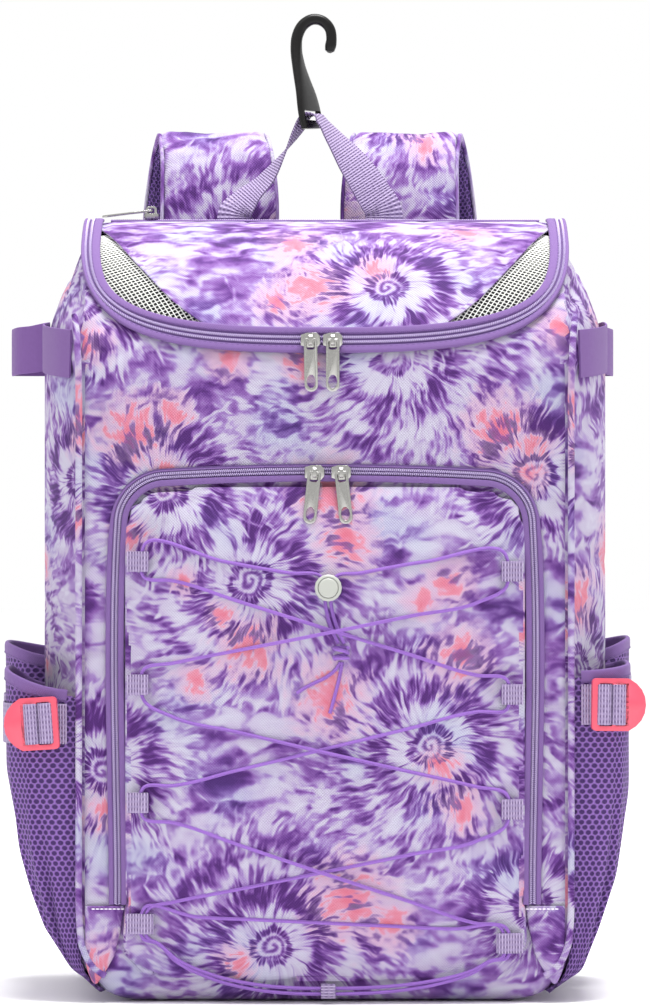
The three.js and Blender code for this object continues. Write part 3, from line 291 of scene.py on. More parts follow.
def pocket_arch():
    """The pocket zip's line from its left foot over the arch to its right foot, as x and z."""
    a = np.linspace(0, math.pi / 2, 14)
    corner = np.stack([-(POCKET_HALF - POCKET_CORNER) - POCKET_CORNER * np.cos(a),
                       POCKET_TOP - POCKET_CORNER + POCKET_CORNER * np.sin(a)], -1)
    left = np.vstack([[(-POCKET_HALF, POCKET_ZIP_FOOT + FRONT_GAP)], corner])
    return np.vstack([left, left[::-1] * (-1, 1)])


def pocket_plan(pocket, side, around, z, lift=0.0):
    """A side pocket's wall seen from above: x out from the middle, and depth."""
    a = around * math.pi
    middle, half = (pocket["start"] + pocket["end"]) / 2, (pocket["end"] - pocket["start"]) / 2
    depth = middle - half * np.sign(np.cos(a)) * np.abs(np.cos(a)) ** pocket["square"]
    near = side_x(depth, z) + FRONT_GAP + MESH_WALL
    far = np.maximum(near, look_up(REACH[side], z) * pocket["spread"])
    x = near + (far - near) * np.sin(a) ** pocket["square"]
    return x + lift * np.sin(a), depth - lift * np.cos(a)


# ---------------------------------------------------------------- modelling


def only(obj):
    bpy.ops.object.select_all(action="DESELECT")
    obj.select_set(True)
    bpy.context.view_layer.objects.active = obj


def modify(obj, kind, **settings):
    """Adds one modifier with its settings and applies it."""
    only(obj)
    made = obj.modifiers.new(kind.lower(), kind)
    for key, value in settings.items():
        setattr(made, key, value)
    bpy.ops.object.modifier_apply(modifier=made.name)
    return obj


def edit(obj, *steps):
    """Runs edit-mode operators on all of a piece."""
    only(obj)
    bpy.ops.object.mode_set(mode="EDIT")
    bpy.ops.mesh.select_all(action="SELECT")
    for step, settings in steps:
        step(**settings)
    bpy.ops.object.mode_set(mode="OBJECT")
    return obj


def points_of(obj):
    co = np.zeros(len(obj.data.vertices) * 3)
    obj.data.vertices.foreach_get("co", co)
    return co.reshape(-1, 3) / MM


def move_points(obj, points):
    obj.data.vertices.foreach_set("co", (np.asarray(points) * MM).ravel())
    obj.data.update()


def smooth(obj, angle):
    only(obj)
    bpy.ops.object.shade_smooth_by_angle(angle=math.radians(angle))


def corners(obj):
    """The point at each corner of a piece's faces."""
    made = np.zeros(len(obj.data.loops), int)
    obj.data.loops.foreach_get("vertex_index", made)
    return made


def lay_cloth(obj, uv):
    """Lays the cloth's coordinates, in millimetres, on each corner of a piece's faces."""
    layers = obj.data.uv_layers
    layer = layers[0] if layers else layers.new(name="cloth")
    layer.name = "cloth"
    layer.data.foreach_set("uv", (uv * MM).ravel())


def unit(v):
    return v / np.maximum(np.linalg.norm(v, axis=-1, keepdims=True), 1e-9)


def run_along(points):
    """How far along a row of points each of them is."""
    return np.concatenate([[0], np.cumsum(np.linalg.norm(np.diff(points, axis=0), axis=1))])


def laid_grid(name, points, uv=None, closed=False):
    """A grid primitive laid on rows of points; closed joins its long edges and fills its ends."""
    points = np.asarray(points, float)
    rows, columns = points.shape[:2]
    bpy.ops.object.select_all(action="DESELECT")
    bpy.ops.mesh.primitive_grid_add(x_subdivisions=columns - 1, y_subdivisions=rows - 1, size=1)
    obj = bpy.context.object
    obj.name = obj.data.name = name
    flat = points_of(obj) * MM
    column = np.rint((flat[:, 0] + 0.5) * (columns - 1)).astype(int)
    row = np.rint((flat[:, 1] + 0.5) * (rows - 1)).astype(int)
    move_points(obj, points[row, column])
    if uv is None:
        uv = np.stack(np.broadcast_arrays(run_along(points[rows // 2]), run_along(points[:, 0])[:, None]), -1)
    lay_cloth(obj, uv[row, column][corners(obj)])
    if closed:
        edit(obj, (bpy.ops.mesh.remove_doubles, {"threshold": 1e-6}),
             (bpy.ops.mesh.fill_holes, {"sides": 0}),
             (bpy.ops.mesh.normals_make_consistent, {"inside": False}))
    return obj


def resample(points, step, *others):
    """Points spaced evenly along a smooth curve through the given ones, with other values carried along."""
    p = np.asarray(points, float)
    chord = run_along(p)
    count = max(4, int(round(chord[-1] / step)) + 1)
    at = np.linspace(0, chord[-1], count)

    def through(values):
        values = np.asarray(values, float)
        flat = values.reshape(len(p), -1)
        slope = np.gradient(flat, chord, axis=0)
        i = np.clip(np.searchsorted(chord, at, "right") - 1, 0, len(p) - 2)
        gap = (chord[i + 1] - chord[i])[:, None]
        t = ((at - chord[i]) / gap[:, 0])[:, None]
        made = ((2 * t**3 - 3 * t**2 + 1) * flat[i] + (t**3 - 2 * t**2 + t) * gap * slope[i]
                + (3 * t**2 - 2 * t**3) * flat[i + 1] + (t**3 - t**2) * gap * slope[i + 1])
        return made.reshape((count,) + values.shape[1:])

    return (through(p), *[through(o) for o in others])


def frame_of(path, across):
    """Along a path, across it as near as may be to the given direction, and out of both."""
    along = unit(np.gradient(path, axis=0))
    across = unit(across - along * np.sum(across * along, -1, keepdims=True))
    return along, across, np.cross(across, along)


def sweep(name, path, across, wide, thick, square, around):
    """A closed strip, pad or cord along a path: across is its broad direction, one for all or one for each point.
    A square of 1 gives a round section, and a small one a nearly rectangular section."""
    path = np.asarray(path, float)
    _, across, out = frame_of(path, across)
    t = np.linspace(0, 2 * math.pi, around + 1)
    a = np.sign(np.cos(t)) * np.abs(np.cos(t)) ** square / 2
    b = np.sign(np.sin(t)) * np.abs(np.sin(t)) ** square / 2
    a[np.abs(a) < 1e-6] = 0
    wide, thick = np.broadcast_to(wide, len(path)), np.broadcast_to(thick, len(path))
    shape = path[:, None, :] + across[:, None, :] * (a * wide[:, None])[..., None]
    shape = shape + out[:, None, :] * (b * thick[:, None])[..., None]
    u = a * wide[:, None] + np.where(b >= 0, 0, UNDERSIDE)
    return laid_grid(name, shape, np.stack([u, np.broadcast_to(run_along(path)[:, None], u.shape)], -1), closed=True)


def repeated(name, template, places):
    """One mesh with a copy of the template at every place; each place is a 4 x 4 array in millimetres."""
    base = points_of(template)
    faces = [tuple(p.vertices) for p in template.data.polygons]
    places = np.asarray(places)
    points = np.einsum("nij,vj->nvi", places[:, :3, :3], base) + places[:, None, :3, 3]
    count = len(base)
    sizes = np.array([len(f) for f in faces])
    loops = np.concatenate([np.array(f) for f in faces])
    mesh = bpy.data.meshes.new(name)
    mesh.vertices.add(count * len(places))
    mesh.vertices.foreach_set("co", (points * MM).ravel())
    mesh.loops.add(len(loops) * len(places))
    mesh.loops.foreach_set("vertex_index", (loops[None] + np.arange(len(places))[:, None] * count).ravel())
    mesh.polygons.add(len(faces) * len(places))
    starts = np.concatenate([[0], np.cumsum(sizes)[:-1]])
    mesh.polygons.foreach_set("loop_start", (starts[None] + np.arange(len(places))[:, None] * len(loops)).ravel())
    mesh.update(calc_edges=True)
    mesh.validate()
    obj = bpy.data.objects.new(name, mesh)
    bpy.context.scene.collection.objects.link(obj)
    bpy.data.objects.remove(template)
    smooth(obj, 60)
    return obj


def bead(length, width, height):
    """A small rounded bead along X, for one coil of a zip or one stitch."""
    bpy.ops.object.select_all(action="DESELECT")
    bpy.ops.mesh.primitive_uv_sphere_add(segments=8, ring_count=5, radius=0.5 * MM)
    obj = bpy.context.object
    bpy.ops.transform.rotate(value=math.pi / 2, orient_axis="Y", center_override=(0, 0, 0))
    bpy.ops.object.transform_apply(location=False, rotation=True, scale=False)
    bpy.ops.transform.resize(value=(length, width, height))
    bpy.ops.object.transform_apply(location=False, rotation=False, scale=True)
    return obj


def places_along(path, normals, pitch, offset, lift, slant=0.0):
    """Evenly spaced places along a path: X runs along it, turned by slant, and Z is its normal."""
    path = np.asarray(path, float)
    run = run_along(path)
    at = np.arange(pitch / 2, run[-1], pitch)
    middle, normal, along = [np.stack([np.interp(at, run, values[:, k]) for k in range(3)], -1) for values in
                             (path, np.broadcast_to(normals, path.shape), np.gradient(path, run, axis=0))]
    normal, along = unit(normal), unit(along)
    along = unit(along - normal * np.sum(along * normal, -1, keepdims=True))
    across = np.cross(normal, along)
    middle = middle + across * offset + normal * lift
    turned = along * math.cos(slant) + across * math.sin(slant)
    places = np.zeros((len(at), 4, 4))
    places[:, :3, 0], places[:, :3, 1], places[:, :3, 2] = turned, np.cross(normal, turned), normal
    places[:, :3, 3], places[:, 3, 3] = middle, 1
    return places


def finished(obj, material, replaces=(), body=BODY, lining=None):
    """Gives a piece its finish, the body it moves with and the solids it stands for."""
    obj.data.materials.clear()
    obj.data.materials.append(MATERIALS[material])
    if lining:
        obj.data.materials.append(MATERIALS[lining])
    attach(obj, body)
    if replaces:
        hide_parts(*([replaces] if isinstance(replaces, str) else replaces))
    return obj


def copied(node, name, bevel, segments=2, angle=30):
    """A copy of a solid with its flat faces joined and its edges rounded."""
    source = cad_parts[node]
    obj = bpy.data.objects.new(name, source.data.copy())
    bpy.context.scene.collection.objects.link(obj)
    edit(obj, (bpy.ops.mesh.remove_doubles, {"threshold": 1e-6}),
         (bpy.ops.mesh.dissolve_limited, {"angle_limit": math.radians(2)}))
    modify(obj, "BEVEL", width=bevel * MM, segments=segments, limit_method="ANGLE", angle_limit=math.radians(angle),
           harden_normals=False)
    smooth(obj, angle)
    return obj


# ---------------------------------------------------------------- materials


def fill(tree, made, inputs):
    """Links each input that is given a socket, and sets each that is given a value."""
    for key, value in inputs.items():
        if isinstance(value, bpy.types.NodeSocket):
            tree.links.new(value, made.inputs[key])
        else:
            made.inputs[key].default_value = value


def node(tree, kind, inputs=(), out=0, stops=None, **settings):
    """Adds one node with its settings, inputs and colour stops, and gives the chosen one of its outputs."""
    made = tree.nodes.new(kind)
    for key, value in settings.items():
        setattr(made, key, value)
    fill(tree, made, dict(inputs))
    if stops:
        ramp = made.color_ramp
        while len(ramp.elements) > 1:
            ramp.elements.remove(ramp.elements[-1])
        for i, (place, colour) in enumerate(stops):
            element = ramp.elements[0] if i == 0 else ramp.elements.new(place)
            element.position = place
            element.color = (colour, colour, colour, 1) if isinstance(colour, (int, float)) else linear(colour)
    return made.outputs[out] if made.outputs else None


def new_material(name):
    material = bpy.data.materials.new(name)
    material.use_nodes = True
    tree = material.node_tree
    return material, tree, tree.nodes["Principled BSDF"]


def lattice(tree, coordinates, wide, tall, shift):
    """Distance from the nearest point of a lattice of wide by tall millimetres, in its own cells."""
    cell = node(tree, "ShaderNodeMapping", {0: coordinates, 1: (shift, shift, 0), 3: (1000 / wide, 1000 / tall, 1)})
    part = node(tree, "ShaderNodeVectorMath", {0: cell}, operation="FRACTION")
    middle = node(tree, "ShaderNodeVectorMath", {0: part, 1: (0.5, 0.5, 0)}, operation="SUBTRACT")
    sized = node(tree, "ShaderNodeVectorMath", {0: middle, 1: (wide, tall, 0)}, operation="MULTIPLY")
    return node(tree, "ShaderNodeVectorMath", {0: sized}, "Value", operation="LENGTH")


def woven(tree, coordinates, wide, tall, rib=0.0):
    """Height of a weave whose threads are wide and tall millimetres apart: plain, or ribbed across."""
    scaled = node(tree, "ShaderNodeMapping", {0: coordinates, 3: (2000 * math.pi / wide, 2000 * math.pi / tall, 1)})
    axes = node(tree, "ShaderNodeSeparateXYZ", {0: scaled}).node.outputs
    warp = node(tree, "ShaderNodeMath", {0: axes[0]}, operation="SINE")
    weft = node(tree, "ShaderNodeMath", {0: axes[1]}, operation="SINE")
    dips = node(tree, "ShaderNodeMath", {0: warp, 1: 1 - rib, 2: rib}, operation="MULTIPLY_ADD")
    return node(tree, "ShaderNodeMath", {0: dips, 1: weft}, operation="MULTIPLY")


def cloth_map(tree):
    return node(tree, "ShaderNodeUVMap", uv_map="cloth")


def dye_spiral():
    """Node group: one spiral's dye, the strokes it is drawn in, and how much of the cloth it takes."""
    tree = bpy.data.node_groups.new("Dye spiral", "ShaderNodeTree")
    for name, kind in (("Place", "Vector"), ("Centre", "Vector"), ("Reach", "Float"), ("Turn", "Float")):
        tree.interface.new_socket(name, in_out="INPUT", socket_type="NodeSocket" + kind)
    for name in ("Dye", "Share", "Stroke"):
        tree.interface.new_socket(name, in_out="OUTPUT", socket_type="NodeSocketFloat")
    given = node(tree, "NodeGroupInput").node.outputs
    away = node(tree, "ShaderNodeVectorMath", {0: given["Place"], 1: given["Centre"]}, operation="SUBTRACT")
    far = node(tree, "ShaderNodeVectorMath", {0: away}, "Value", operation="LENGTH")
    facing = node(tree, "ShaderNodeVectorMath", {0: away}, operation="NORMALIZE")
    twist = node(tree, "ShaderNodeMath", {0: far, 1: 6.0}, operation="MULTIPLY")
    turned = node(tree, "ShaderNodeVectorRotate", {"Vector": facing, "Angle": twist}, rotation_type="Z_AXIS")

    # Strokes run outwards, because the cloth was pleated round its centre before it was dyed
    def strokes(spokes, per_metre):
        around = node(tree, "ShaderNodeVectorMath", {0: turned, "Scale": spokes}, operation="SCALE")
        outward = node(tree, "ShaderNodeMath", {0: far, 1: per_metre, 2: given["Turn"]}, operation="MULTIPLY_ADD")
        lifted = node(tree, "ShaderNodeCombineXYZ", {2: outward})
        place = node(tree, "ShaderNodeVectorMath", {0: around, 1: lifted}, operation="ADD")
        noise = node(tree, "ShaderNodeTexNoise", {"Vector": place, "Scale": 1.0, "Detail": 1.0, "Roughness": 0.5})
        return node(tree, "ShaderNodeMath", {0: noise, 1: 0.5}, operation="SUBTRACT")

    broad, middling, fine = strokes(3.2, 30.0), strokes(11.5, 85.0), strokes(25.0, 110.0)
    stroke = node(tree, "ShaderNodeMath", {0: fine, 1: 0.9}, operation="MULTIPLY")
    stroke = node(tree, "ShaderNodeMath", {0: middling, 1: 1.75, 2: stroke}, operation="MULTIPLY_ADD")

    # Millimetres from the centre, as a share of 100, and how dark each ring is
    ring = node(tree, "ShaderNodeMath", {0: far, 1: 10.0}, operation="MULTIPLY")
    ring = node(tree, "ShaderNodeMath", {0: broad, 1: 0.11, 2: ring}, operation="MULTIPLY_ADD")
    rings = node(tree, "ShaderNodeValToRGB", {0: ring}, stops=[
        (0.0, 0.5), (0.075, 0.42), (0.09, 0.86), (0.125, 0.84), (0.15, 0.14), (0.2, 0.1), (0.25, 0.36),
        (0.285, 0.72), (0.36, 0.75), (0.43, 0.5), (0.475, 0.24), (0.52, 0.36), (0.58, 0.62), (0.66, 0.58),
        (0.73, 0.34), (0.8, 0.5), (1.0, 0.5)])
    bias = node(tree, "ShaderNodeMath", {0: rings, 1: 0.5}, operation="SUBTRACT")
    axes = node(tree, "ShaderNodeSeparateXYZ", {0: facing}).node.outputs
    upper = node(tree, "ShaderNodeMath", {0: axes[1], 1: 0.09, 2: bias}, operation="MULTIPLY_ADD")
    clouds = node(tree, "ShaderNodeMath", {0: broad, 1: 0.8, 2: upper}, operation="MULTIPLY_ADD")
    body = node(tree, "ShaderNodeMath", {0: stroke, 1: clouds}, operation="ADD")

    # The heart of each spiral keeps its turns
    bearing = node(tree, "ShaderNodeMath", {0: axes[1], 1: axes[0]}, operation="ARCTAN2")
    coil = node(tree, "ShaderNodeMath", {0: far, 1: 1150.0, 2: bearing}, operation="MULTIPLY_ADD")
    swirl = node(tree, "ShaderNodeMath", {0: coil}, operation="SINE")
    swirled = node(tree, "ShaderNodeMath", {0: swirl, 1: 0.26, 2: fine}, operation="MULTIPLY_ADD")
    outside = node(tree, "ShaderNodeMapRange", {0: far, 1: 0.0075, 2: 0.0105})
    dye = node(tree, "ShaderNodeMix", {0: outside, 2: swirled, 3: body}, data_type="FLOAT")
    radius = node(tree, "ShaderNodeMath", {0: far, 1: given["Reach"]}, operation="DIVIDE")
    edge = node(tree, "ShaderNodeMath", {0: stroke, 1: 0.5, 2: radius}, operation="MULTIPLY_ADD")
    share = node(tree, "ShaderNodeMapRange", {0: edge, 1: 0.85, 2: 1.1, 3: 1.0, 4: 0.0})
    node(tree, "NodeGroupOutput", {"Dye": dye, "Share": share, "Stroke": stroke})
    return tree


def oxford_cloth():
    """Polyester oxford cloth, plain woven and printed: a soft matt cloth with a fine grain over a
    tie-dye print of purple spirals, pale folds and pink patches."""
    material, tree, shader = new_material("Printed polyester oxford")
    colours = bpy.context.scene.backpack_colours
    place = cloth_map(tree)
    wander = node(tree, "ShaderNodeTexNoise", {"Vector": place, "Scale": 60.0, "Detail": 1.0}, "Color")
    shift = node(tree, "ShaderNodeVectorMath", {0: wander, 1: (0.5, 0.5, 0.5)}, operation="SUBTRACT")
    moved = node(tree, "ShaderNodeVectorMath", {0: shift, 1: (0.008, 0.008, 0.0), 2: place}, operation="MULTIPLY_ADD")

    # Between the spirals the dye lies in dabs that lean one way or the other
    def dabs(lean, seed):
        laid = node(tree, "ShaderNodeMapping", {0: moved, 1: (seed, seed, 0), 2: (0, 0, lean), 3: (44, 92, 1)})
        return node(tree, "ShaderNodeTexNoise",
                    {"Vector": laid, "Scale": 1.0, "Detail": 1.6, "Roughness": 0.55, "Distortion": 0.6})

    drift = node(tree, "ShaderNodeTexNoise", {"Vector": moved, "Scale": 14.0, "Detail": 1.0})
    lean_share = node(tree, "ShaderNodeMapRange", {0: drift, 1: 0.46, 2: 0.54})
    dab = node(tree, "ShaderNodeMix", {0: lean_share, 2: dabs(0.5, 3.1), 3: dabs(-0.75, 8.4)}, data_type="FLOAT")
    pools = node(tree, "ShaderNodeTexNoise", {"Vector": moved, "Scale": 26.0, "Detail": 1.5})
    both = node(tree, "ShaderNodeMath", {0: pools, 1: 1.5, 2: -1.8}, operation="MULTIPLY_ADD")
    dye = node(tree, "ShaderNodeMath", {0: dab, 1: 2.1, 2: both}, operation="MULTIPLY_ADD")
    stroke = node(tree, "ShaderNodeMath", {0: dab, 1: 0.5}, operation="SUBTRACT")
    group = dye_spiral()
    for i, (x, height, reach) in enumerate(SPIRALS):
        spiral = {"Place": moved, "Centre": (x * MM, height * MM, 0), "Reach": reach * MM, "Turn": 3.7 * i}
        its_dye, share, its_stroke = node(tree, "ShaderNodeGroup", spiral, node_tree=group).node.outputs
        dye = node(tree, "ShaderNodeMix", {0: share, 2: dye, 3: its_dye}, data_type="FLOAT")
        stroke = node(tree, "ShaderNodeMix", {0: share, 2: stroke, 3: its_stroke}, data_type="FLOAT")
    mottle = node(tree, "ShaderNodeTexNoise", {"Vector": moved, "Scale": 150.0, "Detail": 2.0, "Roughness": 0.6})
    mottled = node(tree, "ShaderNodeMath", {0: mottle, 1: 0.5, 2: 0.27}, operation="MULTIPLY_ADD")
    dye = node(tree, "ShaderNodeMath", {0: dye, 1: mottled}, operation="ADD")
    violet = node(tree, "ShaderNodeValToRGB", {0: dye}, stops=[
        (0.0, colours.pale), (0.34, "CCBEDF"), (0.43, "BBA3D8"), (0.54, "A681C8"), (0.66, "9161B4"),
        (0.82, "6F3D96"), (1.0, colours.deep)])
    blue = node(tree, "ShaderNodeValToRGB", {0: dye}, stops=[
        (0.0, "CCCFE8"), (0.38, "BCBDE0"), (0.5, "A394CE"), (0.62, "7F66B2"), (0.8, "624594"), (1.0, "4C307C")])
    cool = node(tree, "ShaderNodeTexNoise", {"Vector": moved, "Scale": 19.0, "Detail": 1.0})
    cool_share = node(tree, "ShaderNodeMapRange", {0: cool, 1: 0.52, 2: 0.68, 4: 0.65})
    base = node(tree, "ShaderNodeMix", {0: cool_share, 6: violet, 7: blue}, data_type="RGBA", out=2)

    # Pink was dabbed on before the purple, in patches whose ends are drawn out by the strokes
    near = None
    for x, height, reach in PINKS:
        gap = node(tree, "ShaderNodeVectorMath", {0: moved, 1: (x * MM, height * MM, 0)}, "Value", operation="DISTANCE")
        share = node(tree, "ShaderNodeMath", {0: gap, 1: reach * MM}, operation="DIVIDE")
        near = share if near is None else node(tree, "ShaderNodeMath", {0: near, 1: share}, operation="MINIMUM")
    torn = node(tree, "ShaderNodeMath", {0: stroke, 1: 0.8, 2: near}, operation="MULTIPLY_ADD")
    worn = node(tree, "ShaderNodeMath", {0: mottle, 1: 1.2, 2: torn}, operation="MULTIPLY_ADD")
    wet = node(tree, "ShaderNodeMapRange", {0: worn, 1: 1.1, 2: 1.7, 3: 0.95, 4: 0.0})
    under = node(tree, "ShaderNodeMapRange", {0: dye, 1: 0.6, 2: 0.74, 3: 1.0, 4: 0.25})
    pink_share = node(tree, "ShaderNodeMath", {0: wet, 1: under}, operation="MULTIPLY")
    pink = node(tree, "ShaderNodeValToRGB", {0: worn}, stops=[
        (0.4, colours.pink), (0.85, "F094AC"), (1.2, "EDAEC8"), (1.45, "E2BCDA")])
    cloth = node(tree, "ShaderNodeMix", {0: pink_share, 6: base, 7: pink}, data_type="RGBA", out=2)

    # Threads about 0.6 mm apart, drawn three times as coarse so that the grain still shows
    weave = woven(tree, place, size("weave_pitch"), size("weave_pitch"))
    shade = node(tree, "ShaderNodeMapRange", {0: weave, 1: -1.0, 2: 1.0, 3: 0.46, 4: 0.69})
    shaded = node(tree, "ShaderNodeVectorMath", {0: cloth, "Scale": shade}, operation="SCALE")
    bump = node(tree, "ShaderNodeBump", {"Strength": 0.35, "Distance": 0.0003, "Height": weave})
    fill(tree, shader, {"Base Color": shaded, "Normal": bump, "Roughness": 0.82, "Specular IOR Level": 0.25,
                        "Sheen Weight": 0.05, "Sheen Roughness": 0.5})
    return material


def ribbed_cloth(name, colour, dark, wide, tall, strength, roughness=0.75, rib=0.0):
    """Woven polyester narrow goods: close ribs that catch the light across the tape."""
    material, tree, shader = new_material(name)
    place = cloth_map(tree)
    weave = woven(tree, place, wide, tall, rib)
    streak = node(tree, "ShaderNodeTexNoise", {"Vector": place, "Scale": 420.0, "Detail": 2.0})
    mixed = node(tree, "ShaderNodeMath", {0: streak, 1: 1.1, 2: weave}, operation="MULTIPLY_ADD")
    level = node(tree, "ShaderNodeMapRange", {0: mixed, 1: -0.6, 2: 1.6})
    tone = node(tree, "ShaderNodeMix", {0: level, 6: linear(dark), 7: linear(colour)}, data_type="RGBA", out=2)
    bump = node(tree, "ShaderNodeBump", {"Strength": strength, "Distance": 0.0004, "Height": weave})
    fill(tree, shader, {"Base Color": tone, "Normal": bump, "Roughness": roughness, "Specular IOR Level": 0.3,
                        "Sheen Weight": 0.06, "Sheen Roughness": 0.4})
    return material


def air_mesh(name, web, hole, pitch):
    """Knitted spacer mesh: a satin web with rows of deep holes, each row set half a step over. The sheet is solid, so
    the holes are painted dark: painted shade for their depth.
    """
    material, tree, shader = new_material(name)
    place = cloth_map(tree)
    tall = pitch * 1.6
    first = lattice(tree, place, pitch, tall, 0.0)
    second = lattice(tree, place, pitch, tall, 0.5)
    near = node(tree, "ShaderNodeMath", {0: first, 1: second}, operation="MINIMUM")
    rim = node(tree, "ShaderNodeMapRange", {0: near, 1: pitch * 0.26, 2: pitch * 0.42})
    thread = woven(tree, place, 0.9, 0.9)
    grain = node(tree, "ShaderNodeMapRange", {0: thread, 1: -1.0, 2: 1.0, 3: 0.86, 4: 1.06})
    # Painted shade: the holes take the dark colour, for the shade in their depth
    colour = node(tree, "ShaderNodeMix", {0: rim, 6: linear(hole), 7: linear(web)}, data_type="RGBA", out=2)
    shaded = node(tree, "ShaderNodeVectorMath", {0: colour, "Scale": grain}, operation="SCALE")
    bump = node(tree, "ShaderNodeBump", {"Strength": 0.9, "Distance": 0.0012, "Height": rim})
    fill(tree, shader, {"Base Color": shaded, "Normal": bump, "Roughness": 0.75, "Specular IOR Level": 0.25,
                        "Sheen Weight": 0.06})
    return material


def speckled(name, colour, spread, scale, roughness, metallic=0.0, bump=0.0, shine=0.5):
    """Moulded, cast or braided surfaces: an even colour with a faint grain in it and in its gloss."""
    material, tree, shader = new_material(name)
    place = node(tree, "ShaderNodeTexCoord", out="Object")
    grain = node(tree, "ShaderNodeTexNoise", {"Vector": place, "Scale": scale, "Detail": 3.0})
    low, high = [tuple(c * k for c in linear(colour)[:3]) + (1.0,) for k in (1 - spread, 1 + spread)]
    tone = node(tree, "ShaderNodeMix", {0: grain, 6: low, 7: high}, data_type="RGBA", out=2)
    gloss = node(tree, "ShaderNodeMapRange", {0: grain, 3: roughness * 0.8, 4: roughness * 1.2})
    fill(tree, shader, {"Base Color": tone, "Roughness": gloss, "Metallic": metallic, "Specular IOR Level": shine})
    if bump:
        relief = node(tree, "ShaderNodeBump", {"Strength": bump, "Distance": 0.0002, "Height": grain})
        fill(tree, shader, {"Normal": relief})
    return material


MATERIALS = {}


def make_materials():
    colours = bpy.context.scene.backpack_colours
    MATERIALS.update({
        # Printed oxford cloth and the plain black taffeta that lines it
        "oxford": oxford_cloth(),
        "lining": ribbed_cloth("Black nylon taffeta lining", "1C1A1E", "0E0D10", 1.0, 1.0, 0.1),
        # Side pockets in open spacer mesh, and the closer one that faces the straps and back; the second colour of each
        # is painted shade in its holes
        "air_mesh": air_mesh("Polyester spacer mesh, purple", colours.mesh, "3A2157", size("mesh_pitch")),
        "spacer": air_mesh("Polyester air mesh, fine", "6D4C94", "351F54", 0.75 * size("mesh_pitch")),
        # Grosgrain binding, flat webbing and zip tape, each a narrow woven good with its own ribs
        "binding": ribbed_cloth("Polyester grosgrain binding", colours.binding, "64487F", 1.6, 1.2, 0.3),
        "band": ribbed_cloth("Polyester band, bat loops", "73528E", "5F3F79", 1.6, 1.2, 0.3),
        "webbing": ribbed_cloth("Polypropylene webbing, lilac", colours.webbing, "54406C", 3.2, 1.8, 1.0, 0.65, 0.65),
        "tape": ribbed_cloth("Polyester zip tape", "5C4378", "46305F", 1.4, 0.9, 0.25),
        "coil": speckled("Nylon zip coil", "B2A2C8", 0.12, 900.0, 0.4),
        "thread": speckled("Polyester thread, purple", "5A3E7A", 0.15, 1500.0, 0.6),
        "white_thread": speckled("Polyester thread, white", "F0EAF6", 0.08, 1500.0, 0.6),
        "net": speckled("Polyester net, white", "F4F5F0", 0.06, 1800.0, 0.6, bump=0.2),
        "lace": ribbed_cloth("Braided polyester cord", "9B6FC2", "7448A2", 1.1, 1.1, 0.6, 0.6),
        # Zinc castings plated in nickel, satin
        "nickel": speckled("Nickel plated zinc, satin", "A4A3A0", 0.08, 700.0, 0.26, metallic=1.0, bump=0.05),
        # Moulded acetal and nylon: a soft gloss with a trace of the mould's grain
        "pink": speckled("Moulded acetal, pink", colours.buckle, 0.05, 260.0, 0.38, bump=0.04),
        "black": speckled("Moulded nylon, black", "0B0A0A", 0.25, 420.0, 0.36, bump=0.08, shine=0.25),
        "grey": speckled("Moulded acetal, pale grey", "A4A6A0", 0.04, 260.0, 0.42, bump=0.03),
    })


# ---------------------------------------------------------------- cloth


def puffed(obj, pinned, out, inward, pressure, slack):
    """Lets a closed cloth form swell under a little pressure, held along its seams."""
    start = points_of(obj)
    normals = np.zeros(len(start) * 3)
    obj.data.vertices.foreach_get("normal", normals)
    normals = normals.reshape(-1, 3)
    seams = obj.vertex_groups.new(name="seams")
    seams.add([int(i) for i in np.nonzero(pinned(start))[0]], 1.0, "REPLACE")
    only(obj)
    cloth = obj.modifiers.new("cloth", "CLOTH")
    settings = cloth.settings
    settings.quality = 4
    settings.mass = 0.25
    settings.tension_stiffness = settings.compression_stiffness = 12
    settings.shear_stiffness = 6
    settings.bending_stiffness = 0.4
    settings.air_damping = 2
    settings.use_pressure = True
    settings.uniform_pressure_force = pressure
    settings.shrink_min = -slack
    settings.vertex_group_mass = "seams"
    settings.effector_weights.gravity = 0
    cloth.collision_settings.use_collision = False
    cloth.collision_settings.use_self_collision = False
    for step in range(1, 21):
        bpy.context.scene.frame_set(step)
    bpy.ops.object.modifier_apply(modifier=cloth.name)
    bpy.context.scene.frame_set(1)
    moved = points_of(obj) - start
    push = np.sum(moved * normals, -1)
    capped = np.where(push > 0, out * np.tanh(push / out), inward * np.tanh(push / inward))
    move_points(obj, start + normals * capped[:, None])
    obj.vertex_groups.clear()
    return obj


def face_data(obj):
    """Centres and normals of a piece's faces, and the face of every corner."""
    mesh = obj.data
    centre, normal = np.zeros(len(mesh.polygons) * 3), np.zeros(len(mesh.polygons) * 3)
    mesh.polygons.foreach_get("center", centre)
    mesh.polygons.foreach_get("normal", normal)
    sizes = np.zeros(len(mesh.polygons), int)
    mesh.polygons.foreach_get("loop_total", sizes)
    return centre.reshape(-1, 3) / MM, normal.reshape(-1, 3), np.repeat(np.arange(len(sizes)), sizes)


def split_off(obj, chosen, name):
    """Parts the chosen faces from a piece; the new piece takes them."""
    only(obj)
    bpy.ops.object.mode_set(mode="EDIT")
    bpy.ops.mesh.select_mode(type="FACE")
    bpy.ops.mesh.select_all(action="DESELECT")
    bpy.ops.object.mode_set(mode="OBJECT")
    obj.data.polygons.foreach_set("select", np.asarray(chosen, bool))
    bpy.ops.object.mode_set(mode="EDIT")
    bpy.ops.mesh.separate(type="SELECTED")
    bpy.ops.object.mode_set(mode="OBJECT")
    made = [o for o in bpy.context.selected_objects if o != obj][0]
    made.name = made.data.name = name
    return made


